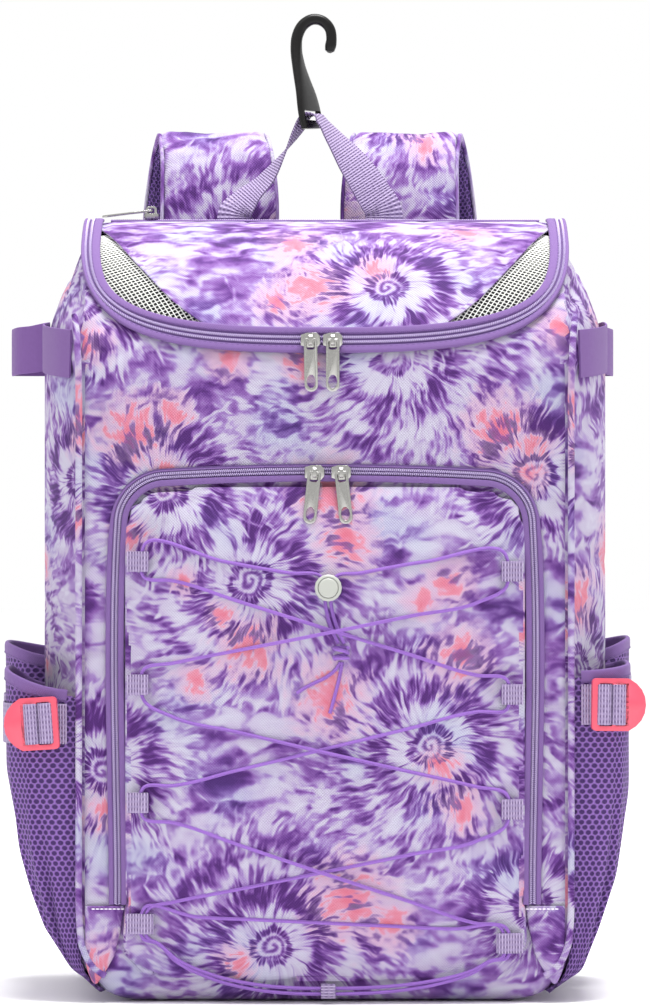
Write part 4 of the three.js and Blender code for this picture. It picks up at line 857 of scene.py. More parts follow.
def open_edge(obj):
    """Which points lie on the open edge of a sheet."""
    mesh = obj.data
    ends = np.zeros(len(mesh.edges) * 2, int)
    mesh.edges.foreach_get("vertices", ends)
    of_loop = np.zeros(len(mesh.loops), int)
    mesh.loops.foreach_get("edge_index", of_loop)
    faces = np.bincount(of_loop, minlength=len(mesh.edges))
    on = np.zeros(len(mesh.vertices), bool)
    on[ends.reshape(-1, 2)[faces == 1].ravel()] = True
    return on


def drawn_to(obj, curve, reach=7.0):
    """Moves the open edge onto a curve in x and z, along the hood's surface."""
    points = points_of(obj)
    at = np.nonzero(open_edge(obj))[0]
    p = points[at][:, [0, 2]]
    a, b = curve[:-1], curve[1:]
    share = np.sum((p[:, None] - a) * (b - a), -1) / np.maximum(np.sum((b - a) ** 2, -1), 1e-9)
    near = a + (b - a) * clamp(share)[..., None]
    gap = np.linalg.norm(p[:, None] - near, axis=-1)
    best = gap.argmin(1)
    close = gap[np.arange(len(p)), best] < reach
    goal = near[np.arange(len(p)), best][close]
    moved = at[close]
    inset = points[moved, 1] - hood_y(points[moved, 2])
    points[moved, 0], points[moved, 2] = goal[:, 0], goal[:, 1]
    points[moved, 1] = hood_y(goal[:, 1]) + clamp(inset, 0, 2)
    move_points(obj, points)


def cut_from_roll(obj):
    """Lays the printed cloth's pattern on a piece: front and hood in one run, then sides and back."""
    centre, normal, face = face_data(obj)
    p = points_of(obj)[corners(obj)]
    n = normal[face]
    middle = centre[face]
    angle = np.arctan2(np.maximum(p[:, 2] - HOOD_START, 0) / HOOD_RISE, 1 - clamp((p[:, 1] + 100) / HOOD_DEPTH))
    over = np.where(p[:, 2] > HOOD_START, hood_arc(clamp(angle, 0, math.pi / 2)), 0)
    height = np.minimum(p[:, 2], HOOD_START) + over + np.maximum(p[:, 1] - 40, 0) * (p[:, 2] > 470)
    uv = np.stack([p[:, 0], height], -1)
    side = (np.abs(n[:, 0]) > 0.5) & (np.abs(middle[:, 0]) > 120)
    uv[side] = np.stack([p[:, 1] + 40 * np.sign(p[:, 0]), 470 - p[:, 2]], -1)[side]
    back = (n[:, 1] > 0.5) & ~side
    uv[back] = np.stack([30 - p[:, 0], p[:, 2] + 20], -1)[back]
    lay_cloth(obj, uv)


def box_map(obj):
    """Lays the cloth's coordinates on a flat-sided piece, from the side each face looks to."""
    _, normal, face = face_data(obj)
    p = points_of(obj)[corners(obj)]
    n = np.abs(normal[face])
    uv = np.where((n[:, 1] > n[:, 0])[:, None] & (n[:, 1] > n[:, 2])[:, None], p[:, [0, 2]],
                  np.where((n[:, 0] > n[:, 2])[:, None], p[:, [1, 2]], p[:, [0, 1]]))
    lay_cloth(obj, uv)


def closed_pad(name, half, z, columns, face, far, voxel):
    """A pad of even mesh between a face that may be domed and a flat far side; half is its half width at z."""
    x = half[:, None] * np.linspace(-1, 1, columns)
    zz = np.broadcast_to(z[:, None], x.shape)
    front = np.stack([x, face(x, zz), zz], -1)
    back = front[:, ::-1].copy()
    back[..., 1] = far
    pad = laid_grid(name, np.concatenate([front, back, front[:, :1]], axis=1), closed=True)
    return modify(pad, "REMESH", mode="VOXEL", voxel_size=voxel * MM)


def body_seams(p):
    """The sewn lines of the body: both front edges, the back edges, the base, the zips and the lid."""
    x, y, z = p.T
    front = y < -96
    edges = (np.abs(np.abs(x) - 150.5) < 4) & front
    back = (y > 96) & (np.abs(x) > 136)
    base = (z < 5) | ((y > 94) & (z > TOP - 8))
    top_zip = (np.abs(y - y_at(TOP_ZIP_DEPTH)) < 6) & (z > TOP - 6)
    rim = in_lid(x, z, 9) & ~in_lid(x, z, -9) & (y < 42) & (z > 396)
    pocket = (np.abs(x) < POCKET_HALF + 8) & (z < POCKET_TOP + 8) & front
    return edges | back | base | top_zip | rim | pocket


def make_body():
    """The padded body, the lid cut out of its hood, and the net let into the lid's corners."""
    form = laid_grid("body_cloth", np.pad(form_points(0.4), ((0, 0), (0, 1), (0, 0)), mode="wrap"), closed=True)
    modify(form, "REMESH", mode="VOXEL", voxel_size=5.5 * MM)
    modify(form, "SMOOTH", factor=0.5, iterations=3)
    puffed(form, body_seams, out=1.6, inward=2.2, pressure=3.0, slack=0.03)
    centre, normal, _ = face_data(form)
    x, y, z = centre.T
    lid = split_off(form, in_lid(x, z) & (y < 40) & (normal[:, 2] > 0.02) & (z > 400), "lid_cloth")
    curve = lid_curve()
    drawn_to(form, curve)
    drawn_to(lid, curve)
    centre, normal, _ = face_data(lid)
    x, y, z = centre.T
    vents = (np.abs(x) > 62) & (z < vent_z(x))
    bpy.data.objects.remove(split_off(lid, vents, "vent_cut"))
    hem = resample([(x, 0, z) for x, z in VENT_EDGE], 3)[0][:, [0, 2]]
    for side in (-1, 1):
        drawn_to(lid, hem * (side, 1), 8)
    for piece, node_name in ((form, "body_shell"), (lid, "lid")):
        modify(piece, "SOLIDIFY", thickness=CLOTH * MM, offset=-1, material_offset=1)
        cut_from_roll(piece)
        smooth(piece, 50)
        finished(piece, "oxford", node_name, lining="lining")
    for name, side in SIDES:
        make_vent(name, side)
        rim = np.array([(x * side, float(hood_y(z)), z) for x, z in hem])
        rim += hood_normal(rim[:, 2]) * 0.1
        turned = np.cross(hood_normal(rim[:, 2]), np.gradient(rim, axis=0))
        strip = sweep("vent_hem_" + name, rim, turned, 3.0, 1.3, 0.6, 12)
        cut_from_roll(strip)
        finished(strip, "oxford")


def vent_sheet(name, side, pitch, under):
    """A sheet over one vent, its threads turned across the lid, at a depth under the cloth."""
    turn = -0.5  # radians that the net's threads lean
    steps = np.arange(-90, 90, pitch)
    a, b = np.meshgrid(steps, steps, indexing="ij")
    x = 104 + a * math.cos(turn) - b * math.sin(turn)
    arc = np.clip(54 + a * math.sin(turn) + b * math.cos(turn), 0, HOOD_ARC[-1])
    z = HOOD_START + HOOD_RISE * np.sin(np.interp(arc, HOOD_ARC, HOOD_ANGLES))
    grid = np.stack([side * x, hood_y(z), z], -1) - hood_normal(z) * under
    sheet = laid_grid(name, grid if side < 0 else grid[:, ::-1])
    centre, _, _ = face_data(sheet)
    x, _, z = centre.T
    off = ~((z < vent_z(x) - 0.2) & (np.abs(x) > 61) & in_lid(x, z, -1))
    bpy.data.objects.remove(split_off(sheet, off, "sheet_cut"))
    return sheet


def make_vent(name, side):
    """Net drawn over its corner of the lid just under the cloth, and the black lining behind it."""
    net = vent_sheet("vent_net_cloth_" + name, side, size("net_pitch"), 2.2)
    modify(net, "WIREFRAME", thickness=0.95 * MM, use_even_offset=False, use_boundary=True)
    finished(net, "net", "vent_net_" + name)
    behind = vent_sheet("vent_lining_" + name, side, 6.0, 5.0)
    modify(behind, "SOLIDIFY", thickness=0.6 * MM, offset=-1)
    box_map(behind)
    finished(behind, "lining")


# ---------------------------------------------------------------- zips


def coils(name, path, normals, lift, spread=1.55):
    """Two rows of slanting coils with a dark gap between them."""
    rows = [places_along(path, normals, size("coil_pitch"), spread * s, lift, s * 1.05) for s in (-1, 1)]
    return finished(repeated(name, bead(2.3, 0.85, 1.5), np.concatenate(rows)), "coil")


def stitches(name, path, normals, offset, lift, material="thread", pitch=None):
    """A row of lockstitches beside a path."""
    places = places_along(path, normals, pitch or size("stitch_pitch"), offset, lift)
    return finished(repeated(name, bead(2.4, 0.7, 0.6), places), material)


def make_lid_zip():
    """The lid's zip; its legs turn over the bag's edge, so that little of their outer side is seen."""
    curve = lid_curve()
    path, = resample(np.stack([curve[:, 0], hood_y(curve[:, 1]), curve[:, 1]], -1), 3.5)
    normal = hood_normal(path[:, 2])
    path[:, 1] = hood_y(path[:, 2])
    inward = np.cross(normal, unit(np.gradient(path, axis=0)))
    seat = path + normal * (FRONT_GAP + BAND_THICK / 2)
    leg = clamp((path[:, 2] - 414) / 34)
    leg = (leg * leg * (3 - 2 * leg))[:, None]
    flat = leg[:, 0]
    tape = sweep("lid_zip_tape", seat + inward * (-2.6 * leg), inward, 16.4 - 5.2 * flat, BAND_THICK, 0.35, 24)
    finished(tape, "tape", "lid_zip")
    coils("lid_zip_coil", seat + inward * (-4.2 * leg), normal, 1.3)
    # Binding is folded over each edge: its place and width across the front, and those down the legs
    for i, (front, side, wide, narrow) in enumerate(((-6.0, -7.2, 4.8, 2.6), (6.0, 0.6, 4.6, 6.0))):
        middle = seat + inward * (front + (side - front) * leg) + normal * 0.5
        roll = sweep(f"lid_zip_binding_{i + 1}", middle, inward, wide + (narrow - wide) * flat, 2.9, 0.75, 16)
        finished(roll, "binding")
        edge = front + (side - front) * leg - math.copysign(1, front) * (wide + (narrow - wide) * leg - 1.6) / 2
        stitches(f"lid_zip_seam_{i + 1}", seat + inward * edge, normal, 0, 1.7)


def make_top_zip():
    """The zip across the top, behind the lid."""
    path = np.linspace((-TOP_ZIP_REACH, y_at(TOP_ZIP_DEPTH), TOP + FRONT_GAP + BAND_THICK / 2),
                       (TOP_ZIP_REACH, y_at(TOP_ZIP_DEPTH), TOP + FRONT_GAP + BAND_THICK / 2), 60)
    finished(sweep("top_zip_tape", path, REARWARD, 2 * TOP_ZIP_HALF, BAND_THICK, 0.35, 20), "tape", "top_zip")
    coils("top_zip_coil", path, UP, 1.2)
    for i, edge in enumerate((-1, 1)):
        middle = path + REARWARD * edge * 4.2 + UP * 0.3
        finished(sweep(f"top_zip_binding_{i + 1}", middle, REARWARD, 3.4, 2.4, 0.75, 14), "binding")


def make_pocket_zip():
    """The pocket's zip: the outer binding shows along the legs and slips under the cloth at the top."""
    curve = pocket_arch()
    tape_thick = 1.4
    path, = resample([(x, FRONT - FRONT_GAP - tape_thick / 2, z) for x, z in curve], 3.5)
    inward = np.cross(FORWARD, unit(np.gradient(path, axis=0)))
    inward *= np.sign(inward[0, 0] * -path[0, 0])
    top = clamp((path[:, 2] - 285) / 40)[:, None]
    finished(sweep("pocket_zip_tape", path + inward * 0.3, inward, 9.4, tape_thick, 0.35, 24), "tape", "pocket_zip")
    coils("pocket_zip_coil", path, FORWARD, 1.1, 1.15)
    inner = path + inward * (4.1 + 0.5 * top) + FORWARD * 1.9
    finished(sweep("pocket_zip_binding_1", inner, inward, 3.9, 3.0, 0.75, 16), "binding")
    outer = path - inward * (3.9 - 0.9 * top) + FORWARD * 0.3
    finished(sweep("pocket_zip_binding_2", outer, inward, 3.2 - 2.2 * top[:, 0], 2.0, 0.75, 14), "binding")
    stitches("pocket_zip_seam", path + inward * (2.7 + 0.5 * top), FORWARD, 0, 2.9)


# ---------------------------------------------------------------- front


def pocket_seams(p):
    """The pocket's edge, which the zip holds, and its inner side."""
    x, y, z = p.T
    edge = (np.abs(x) > pocket_half(z, POCKET_INSET) - 5) | (z > POCKET_TOP - 10) | (z < 12)
    return edge | (y > FRONT - 1.2)


def make_pocket():
    """The laced front pocket: a padded, domed panel of printed cloth."""
    z = np.linspace(POCKET_FOOT, POCKET_TOP - POCKET_INSET - 0.05, 60)
    pad = closed_pad("front_pocket_cloth", pocket_half(z, POCKET_INSET), z, 60,
                     lambda x, z: pocket_face(x, z) + 0.4, FRONT - 0.5, 4)
    modify(pad, "SMOOTH", factor=0.5, iterations=2)
    puffed(pad, pocket_seams, out=2.4, inward=2.0, pressure=3.0, slack=0.05)
    bpy.data.objects.remove(split_off(pad, face_data(pad)[1][:, 1] > 0.5, "pocket_back"))
    modify(pad, "SUBSURF", levels=1, render_levels=1)
    modify(pad, "SOLIDIFY", thickness=2.6 * MM, offset=-1, material_offset=1)
    cut_from_roll(pad)
    smooth(pad, 60)
    finished(pad, "oxford", "front_pocket", lining="lining")


def make_gusset(name, side):
    """The folded patch below each end of the pocket zip, with a line of white stitches on its hem."""
    z = np.linspace(12, POCKET_ZIP_FOOT - 0.4, 20)
    inner = np.interp(z, [12, 20, 30, 45, 60], [141, 135.5, 130, 126.4, 124])
    outer = np.minimum(side_x(0, z) - 1.6, 149)
    share = np.linspace(0, 1, 12)
    x = side * (inner[:, None] + (outer - inner)[:, None] * share)
    y = FRONT - 1.6 - 1.3 * np.sin(share * math.pi)
    grid = np.stack(np.broadcast_arrays(x, y, z[:, None]), -1)
    place_on_roll = (25, 338) if side < 0 else (-52, 20)
    patch = laid_grid("pocket_gusset_cloth_" + name, grid[:, ::side], (grid[..., [0, 2]] + place_on_roll)[:, ::side])
    modify(patch, "SOLIDIFY", thickness=1.2 * MM, offset=-1)
    modify(patch, "SUBSURF", levels=1, render_levels=1)
    smooth(patch, 60)
    finished(patch, "oxford", "pocket_gusset_" + name)
    hem = np.linspace((side * 124, FRONT - 3, 58.6), (side * 145, FRONT - 3, 58.6), 8)
    stitches("pocket_gusset_hem_" + name, hem, FORWARD, 0, 0.2, "white_thread", 2.6)


def make_piping(name, side):
    """Cord covered in printed cloth, sewn down a front edge."""
    off = 2.5 * math.sqrt(0.5)  # the cord's middle lies this far out of both faces
    points = []
    for a in np.radians(np.linspace(20, 90, 6)):
        x = FRONT_HALF - CORNER_WIDTH * (1 - math.sin(a)) + off
        points.append((side * x, FRONT - off, EDGE_ROUND - off / 2 + CORNER_HEIGHT * (1 - math.cos(a))))
    for z in np.linspace(90, HOOD_START - 6, 9):
        points.append((side * (FRONT_HALF + 0.8 + off), FRONT - off, z))
    for a in np.radians((6, 12, 18, 23)):
        depth = HOOD_DEPTH * (1 - math.cos(a))
        x = FRONT_HALF + (half_width(depth) - FRONT_HALF) * 0.35 + 0.8 + off
        points.append((side * x, y_at(depth) - off - 1, HOOD_START + HOOD_RISE * math.sin(a)))
    cord = sweep("piping_cloth_" + name, resample(points, 4)[0], RIGHT, 4.2, 4.2, 1.0, 12)
    layer = cord.data.uv_layers[0].data
    uv = np.zeros(len(layer) * 2)
    layer.foreach_get("uv", uv)
    lay_cloth(cord, uv.reshape(-1, 2) / MM + (side * 118, 0))
    finished(cord, "oxford", "piping_" + name)


# ---------------------------------------------------------------- side pockets and straps


def rim_height(pocket, side, around):
    low, crown = pocket["rim"][side]
    return low + crown * np.sin(around * math.pi)


def pocket_wall(kind, pocket, name, side):
    """One wall of spacer mesh, sewn to the bag at both ends and gathered into the base."""
    around = np.linspace(0.005, 0.995, 61)
    share = np.concatenate([np.linspace(0, 0.3, 16)[:-1], np.linspace(0.3, 1, 22)])
    top = rim_height(pocket, name, around) - RIM_BINDING / 2
    z = 6 + (top[None, :] - 6) * share[:, None]
    a = np.broadcast_to(around[None, :], z.shape)
    x, depth = pocket_plan(pocket, name, a, z)
    near = side_x(depth, z)
    room = clamp((x - near - 3) / 14)
    gather = clamp(1 - z / 165) ** 1.1
    wave = np.sin(a * 40 + 1.3 * side + z / 50) + 0.6 * np.sin(a * 67 + z / 30)
    fold = 3.4 * room * gather * wave + 0.9 * room * np.sin(z / 16 + a * 9) * clamp(1 - z / 190)
    x = x + fold * np.sin(a * math.pi)
    depth = depth - fold * np.cos(a * math.pi)
    sewn = np.maximum(clamp(1 - (z - 6) / 12), clamp(1 - a / 0.03))
    x = x + (near - 1 - x) * sewn
    wall = np.stack([side * x, y_at(depth), z], -1)
    run = run_along(wall[len(share) // 2])
    uv = np.stack(np.broadcast_arrays(run, z), -1)
    sheet = laid_grid(f"{kind}_mesh_{name}", wall[:, ::side], uv[:, ::side])
    modify(sheet, "SOLIDIFY", thickness=MESH_WALL * MM, offset=-1)
    modify(sheet, "SUBSURF", levels=1, render_levels=1)
    smooth(sheet, 60)
    finished(sheet, "air_mesh", f"{kind}_{name}")


def pocket_rim(kind, pocket, name, side):
    """The binding sewn round a side pocket's rim, with its stitches."""
    around = np.linspace(0.005, 0.995, 48)
    z = rim_height(pocket, name, around) - RIM_BINDING / 2
    x, depth = pocket_plan(pocket, name, around, z, -1.0)
    path = np.stack([side * x, y_at(depth), z], -1)
    node_name = {"bottle_pocket": "bottle_binding", "bat_sleeve": "sleeve_binding"}[kind]
    rim = sweep(f"{node_name}_cloth_{name}", path, UP, RIM_BINDING, BINDING_WALL, 0.55, 20)
    finished(rim, "binding", f"{node_name}_{name}")
    out = np.cross(unit(np.gradient(path, axis=0)), UP) * -side
    out = unit(out) * np.sign(np.sum(out * np.array([side, 0, 0]), -1).mean())
    stitches(f"{node_name}_seam_{name}", path, out, -2.6 if side > 0 else 2.6, BINDING_WALL / 2, "thread", 3.0)


def standing_strip(name, rows, height):
    """Webbing on its edge along a row of points."""
    return sweep(name, resample(rows, 3.0)[0], UP, height, WEBBING, 0.25, 24)


def make_side_strap(name, side):
    """Webbing over the bottle pocket and round the bat sleeve to the back, and its ladder lock."""
    off = 0.54 + WEBBING / 2
    z = SIDE_STRAP_Z[name]

    def over(pocket, low, high):
        x, depth = pocket_plan(pocket, name, np.linspace(low, high, 9), np.full(9, float(z)), off)
        return np.stack([side * x, y_at(depth), np.full(9, float(z))], -1)

    last = (side * (side_x(197, z) + off + 1.2), y_at(195), z)
    rows = np.vstack([over(BOTTLE, 0.005, 0.5), over(SLEEVE, 0.335, 0.912), [last]])
    finished(standing_strip("side_strap_webbing_" + name, rows, WEBBING_WIDTH), "webbing", "side_strap_" + name)
    lock = copied("side_buckle_" + name, "side_buckle_moulded_" + name, bevel=0.9, segments=3, angle=40)
    finished(lock, "pink", "side_buckle_" + name)
    # The webbing rises through one slot, turns over the middle bar and goes down through the other
    turn, lean = math.radians(side * 10), math.radians(-4 if side < 0 else 1)
    place = Matrix.Rotation(turn, 3, "Z") @ Matrix.Rotation(lean, 3, "Y")
    centre = np.array([side * 182, FRONT + (-0.9 if side < 0 else 0.2), z])
    for i, (low, high) in enumerate(((-13.6, -5.0), (-4.4, 4.2))):
        t = np.linspace(0, math.pi, 15)
        middle, half = (low + high) / 2, (high - low) / 2
        local = np.stack([side * (middle - half * np.cos(t)), 1.2 - 5.2 * np.sin(t) ** 0.7, np.zeros(15)], -1)
        hump = np.array([place @ Vector(p) for p in local]) + centre
        up = np.array(place @ Vector(UP))
        finished(sweep(f"lock_webbing_{name}_{i + 1}", hump, up, 25.2, 1.3, 0.25, 20), "webbing")


def make_bat_loop(name, side):
    """A band that stands off the side where a bat goes through it."""
    off = 1.6
    rows = [(side_x(d, BAT_BAND_Z) + off, d, BAT_BAND_Z + 6 * d / 94) for d in (8.5, 20, 38, 58, 78, 94)]
    for out, d, rise in ((-14, 101, 4), (-4, 111, 3), (0, 124, 2), (0, 146, 2), (-4, 160, 2), (-13, 172, 2),
                         (-27, 181, 2)):
        rows.append((max(BAT_LOOP_REACH[name] + out, side_x(d, BAT_BAND_Z) + off), d, BAT_BAND_Z + rise))
    rows.append((side_x(188, BAT_BAND_Z) + off, 188, BAT_BAND_Z + 2))
    path = [(side * x, y_at(d), z) for x, d, z in rows]
    finished(standing_strip("bat_loop_band_" + name, path, BAT_BAND_HEIGHT), "band", "bat_loop_" + name)


# ---------------------------------------------------------------- lacing


def on_pocket(x, z, level=0.0):
    """A point of the lace on the pocket's face, or a level above it where strands cross."""
    return (x, float(pocket_face(np.float64(x), np.float64(z))) - 0.8 - CORD - level * (2 * CORD + 0.5), z)


def loop_y(z):
    """How far forward the eyes of a pair of lace loops are."""
    return float(pocket_face(np.float64(LOOP_EYE_X - 4), np.float64(z))) - FRONT_GAP - 0.4 - LOOP_EYE - LOOP_WALL


def lace_points():
    """The lace's route, from its knot through every loop and back."""
    left, right = LACE_Z["left"], LACE_Z["right"]
    half = LOOP_HEIGHT / 2

    def through(side, z, down, strand=0):
        x, reach = side * (LOOP_EYE_X - strand * CORD * 2.1), half + 3.2
        two = [(x, loop_y(z), z + reach), (x, loop_y(z), z - reach)]
        return two if down else two[::-1]

    def run(side, start, end, level):
        made = []
        for u in (0.08, 0.26, 0.42, 0.5, 0.58, 0.74, 0.92):
            near = max(0.0, 1 - abs(u - 0.5) / 0.2)
            x = side * LOOP_EYE_X * (1 - 2 * u)
            made.append(on_pocket(x, (start - half) + (end + half - start + half) * u, level * math.sqrt(near)))
        return made

    def droop(strand):
        low = DROOP_LOW + strand * (2 * CORD + 0.4)
        made = []
        for x, rise in ((104, 0.9), (92, 0.6), (70, 0.3), (44, 0.1), (18, 0.01), (1, 0), (-18, 0.01), (-44, 0.1),
                        (-70, 0.3), (-92, 0.6), (-104, 0.9)):
            end = (right if x > 0 else left)[3]
            z = low + (end - half - 2 - low) * rise**1.1
            y = DROOP_Y - strand * 0.2
            made.append((x, y if abs(x) < 30 else min(on_pocket(x, z)[1], y), z))
        return made

    def down(side):
        return [on_pocket(LOCK_X + side * 1.8, LOCK_Z - 10), on_pocket(LOCK_X + side * 1.9, LOCK_Z),
                on_pocket(LOCK_X + side * 4, LOCK_Z + 6), on_pocket(side * 22, 267), on_pocket(side * 62, 274)]

    flat = [on_pocket(x, 56 + (45.5 - 56) * (x + 110) / 220) for x in (-80, -45, 0, 45, 80)]
    return [
        on_pocket(KNOT_X - 1.8, KNOT_Z + 6.5), on_pocket(LOCK_X + 1.6, LOCK_Z - 24),
        *down(-1), *through(-1, left[0], True), *run(-1, left[0], right[1], 1),
        *through(1, right[1], True), *run(1, right[1], left[2], 0),
        *through(-1, left[2], True), *run(-1, left[2], right[3], 1),
        *through(1, right[3], True), *droop(0), *through(-1, left[3], False), *flat,
        *through(1, right[3], True, 1), *droop(1), *through(-1, left[3], False, 1),
        *run(-1, left[3] + 16, right[2] - 22, 0), *through(1, right[2], False),
        *run(1, right[2] + 16, left[1] - 22, 1), *through(-1, left[1], False),
        *run(-1, left[1] + 16, right[0] - 22, 2), *through(1, right[0], False), *down(1)[::-1],
        on_pocket(LOCK_X + 5.2, LOCK_Z - 24), on_pocket(KNOT_X + 1.8, KNOT_Z + 6.5),
    ]


def laid_lace(name, points, step, replaces=()):
    """Lace of round braid along a row of points, and its path."""
    path, = resample(points, step)
    wide = size("lace_width")
    return finished(sweep(name, path, REARWARD, wide, wide, 1.0, 10), "lace", replaces), path


def make_lace():
    """The lace in one run, its knot, and two free ends that are cords of their own."""
    laid_lace("lace_braid", lace_points(), 2.5, "lace_cord")
    # The knot: one turn of the cord round both strands, and the two free ends below it
    middle = np.array(on_pocket(KNOT_X, KNOT_Z, 0.5))
    t = np.linspace(0, 1, 60)
    turn = t * 5.2 * math.pi
    wound = np.stack([4.2 * np.cos(turn), 2.4 * np.sin(turn), 4.0 - 8.0 * t + 1.2 * np.sin(turn * 0.5)], -1) + middle
    laid_lace("lace_knot_turns", wound, 1.0, "lace_knot")
    ends = (
        ("left", [(9.6, 212), (6, 207), (1, 203), (-6, 199.5), (-12, 196.5), (-17.5, 193)]),
        ("right", [(10.6, 212), (9.6, 206), (8, 199), (6.2, 192), (4.6, 186), (3, 180.5)]),
    )
    for name, rows in ends:
        tail, path = laid_lace("lace_end_" + name, [on_pocket(x, z) for x, z in rows], 2.0)
        size("lace_width") * MM


def make_lace_loops():
    """Webbing loops that the lace runs through: four on each side of the pocket and one under it."""
    for name, side in SIDES:
        for i, z in enumerate(LACE_Z[name]):
            spare = CORD * 2.1 if i == 3 else 0
            eye = LOOP_EYE + LOOP_WALL / 2
            end = POCKET_HALF - POCKET_ZIP_HALF + 1
            rows = [(end, 0.9), (LOOP_EYE_X + 5, 1.1), (LOOP_EYE_X + 2, 1.7), (LOOP_EYE_X, eye)]
            rows += [(LOOP_EYE_X - spare - eye * math.sin(a), eye * math.cos(a)) for a in np.linspace(0.2, 2.94, 9)]
            rows += [(LOOP_EYE_X, -eye), (LOOP_EYE_X + 2, -1.7), (LOOP_EYE_X + 5, -1.1), (end, -0.9)]
            path, = resample([(side * x, loop_y(z) - y, z) for x, y in rows], 1.2)
            tab = sweep(f"lace_loop_webbing_{name}_{i + 1}", path, UP, LOOP_HEIGHT, LOOP_WALL, 0.3, 20)
            finished(tab, "webbing", f"lace_loop_{name}_{i + 1}")
    base = copied("lace_loop_base", "lace_loop_base_webbing", bevel=0.5)
    box_map(base)
    finished(base, "webbing", "lace_loop_base")


# ---------------------------------------------------------------- back, handle and hardware


def behind_back(side, rows):
    """Rows of distance from the back panel, height and outward flare, as points beside a shoulder strap."""
    return np.array([(STRAP_OFFSET + side * (STRAP_SPREAD + flare), BACK_FACE + out, z) for out, z, flare in rows])


def make_shoulder_strap(name, side):
    """A padded strap: printed cloth outside, air mesh inside, a binding along both edges."""
    rows = behind_back(side, [row[:3] for row in STRAP_PATH])
    path, widths = resample(rows, 5, [row[3] for row in STRAP_PATH])
    widths = widths * STRAP_WIDTH
    pad = sweep("shoulder_strap_cloth_" + name, path, RIGHT, widths - 1, STRAP_PAD - 0.3, 0.42, 48)
    modify(pad, "REMESH", mode="VOXEL", voxel_size=4.5 * MM)
    modify(pad, "SMOOTH", factor=0.5, iterations=2)
    along, side_way, out = frame_of(path, RIGHT)

    def strap_place(p):
        """Nearest station of the strap, how far across it and how far out of its middle."""
        index = np.zeros(len(p), int)
        for start in range(0, len(p), 4000):
            part = p[start : start + 4000]
            index[start : start + 4000] = np.linalg.norm(part[:, None] - path[None], axis=-1).argmin(1)
        away = p - path[index]
        return index, np.sum(away * side_way[index], -1), np.sum(away * out[index], -1)

    def seams(p):
        index, a, _ = strap_place(p)
        return np.abs(a) > widths[index] / 2 - 6

    puffed(pad, seams, out=1.6, inward=1.5, pressure=3.0, slack=0.02)
    modify(pad, "SUBSURF", levels=1, render_levels=1)
    p = points_of(pad)
    index, a, _ = strap_place(p)
    height = run_along(path)[index] + np.sum((p - path[index]) * along[index], -1)
    lay_cloth(pad, np.stack([a + path[index][:, 0] + 20, height + 30], -1)[corners(pad)])
    finished(pad, "oxford", "shoulder_strap_" + name, lining="spacer")
    # The side that lies on the shoulder is air mesh
    inner = strap_place(face_data(pad)[0])[2] < -0.5
    pad.data.polygons.foreach_set("material_index", inner.astype(np.int32))
    smooth(pad, 60)
    for i, edge in enumerate((-1, 1)):
        rim = path + side_way * (edge * (widths / 2 - 1.4))[:, None]
        seam = sweep(f"shoulder_strap_binding_{name}_{i + 1}", rim, out, STRAP_PAD - 5, 2.8, 0.8, 14)
        cut_from_roll(seam)
        finished(seam, "oxford")
        stitches(f"shoulder_strap_seam_{name}_{i + 1}", rim - side_way * edge * 4.2, out, 0, -STRAP_PAD / 2 + 0.6)


def falling_webbing(name, side, rows):
    """Webbing that hangs behind a shoulder strap's end."""
    return sweep(name, resample(behind_back(side, rows), 2.0)[0], RIGHT, WEBBING_WIDTH, WEBBING, 0.25, 20)


def make_back():
    """The padded back panel with sewn channels, both shoulder straps and the webbing below them."""
    z = np.linspace(27, TOP - 24, 84)
    half = BACK_HALF - 12 - 30 * np.maximum(clamp((60 - z) / 33) ** 3, clamp((z - 430) / 33) ** 3)
    panel = closed_pad("back_panel_mesh", half, z, 52, lambda x, z: np.full_like(x, BACK + 0.5), BACK_FACE, 4.2)
    puffed(panel, back_seams, out=4.5, inward=2.5, pressure=5.0, slack=0.03)
    modify(panel, "SUBSURF", levels=1, render_levels=1)
    box_map(panel)
    smooth(panel, 60)
    finished(panel, "spacer", "back_panel")
    for name, side in SIDES:
        make_shoulder_strap(name, side)
        finished(falling_webbing("strap_hem_" + name, side, STRAP_HEM), "webbing")
        tail = falling_webbing("strap_tail_webbing_" + name, side, STRAP_TAIL)
        finished(tail, "webbing", "strap_tail_" + name)
        slide = copied("strap_adjuster_" + name, "strap_adjuster_moulded_" + name, bevel=0.6)
        finished(slide, "black", "strap_adjuster_" + name)


def back_seams(p):
    """The channels sewn across the back panel, and its edge."""
    x, y, z = p.T
    edge = (np.abs(x) > BACK_HALF - 20) | (z < 34) | (z > TOP - 32)
    channel = (np.abs((z - 60) % 90 - 45) > 42.5) | (np.abs(x) < 3)
    return edge | channel | (y < 101.5)


def turned_about_z(degrees):
    """Level directions at the given angles from the bag's right."""
    angle = np.radians(degrees)
    return np.stack([np.cos(angle), np.sin(angle), np.zeros_like(angle)], -1)


def make_handle():
    """A loop of webbing whose middle is turned on edge, where the hook hangs."""
    path, turn = resample([(x, HANDLE_Y, z) for x, z, _ in HANDLE_PATH], 2.0, [row[2] for row in HANDLE_PATH])
    across = turned_about_z(np.where(path[:, 0] < HOOK_X, 168 - 96 * turn, 12 + 60 * turn))
    strap = sweep("grab_handle_webbing", path, across, WEBBING_WIDTH, WEBBING, 0.25, 24)
    finished(strap, "webbing", "grab_handle")


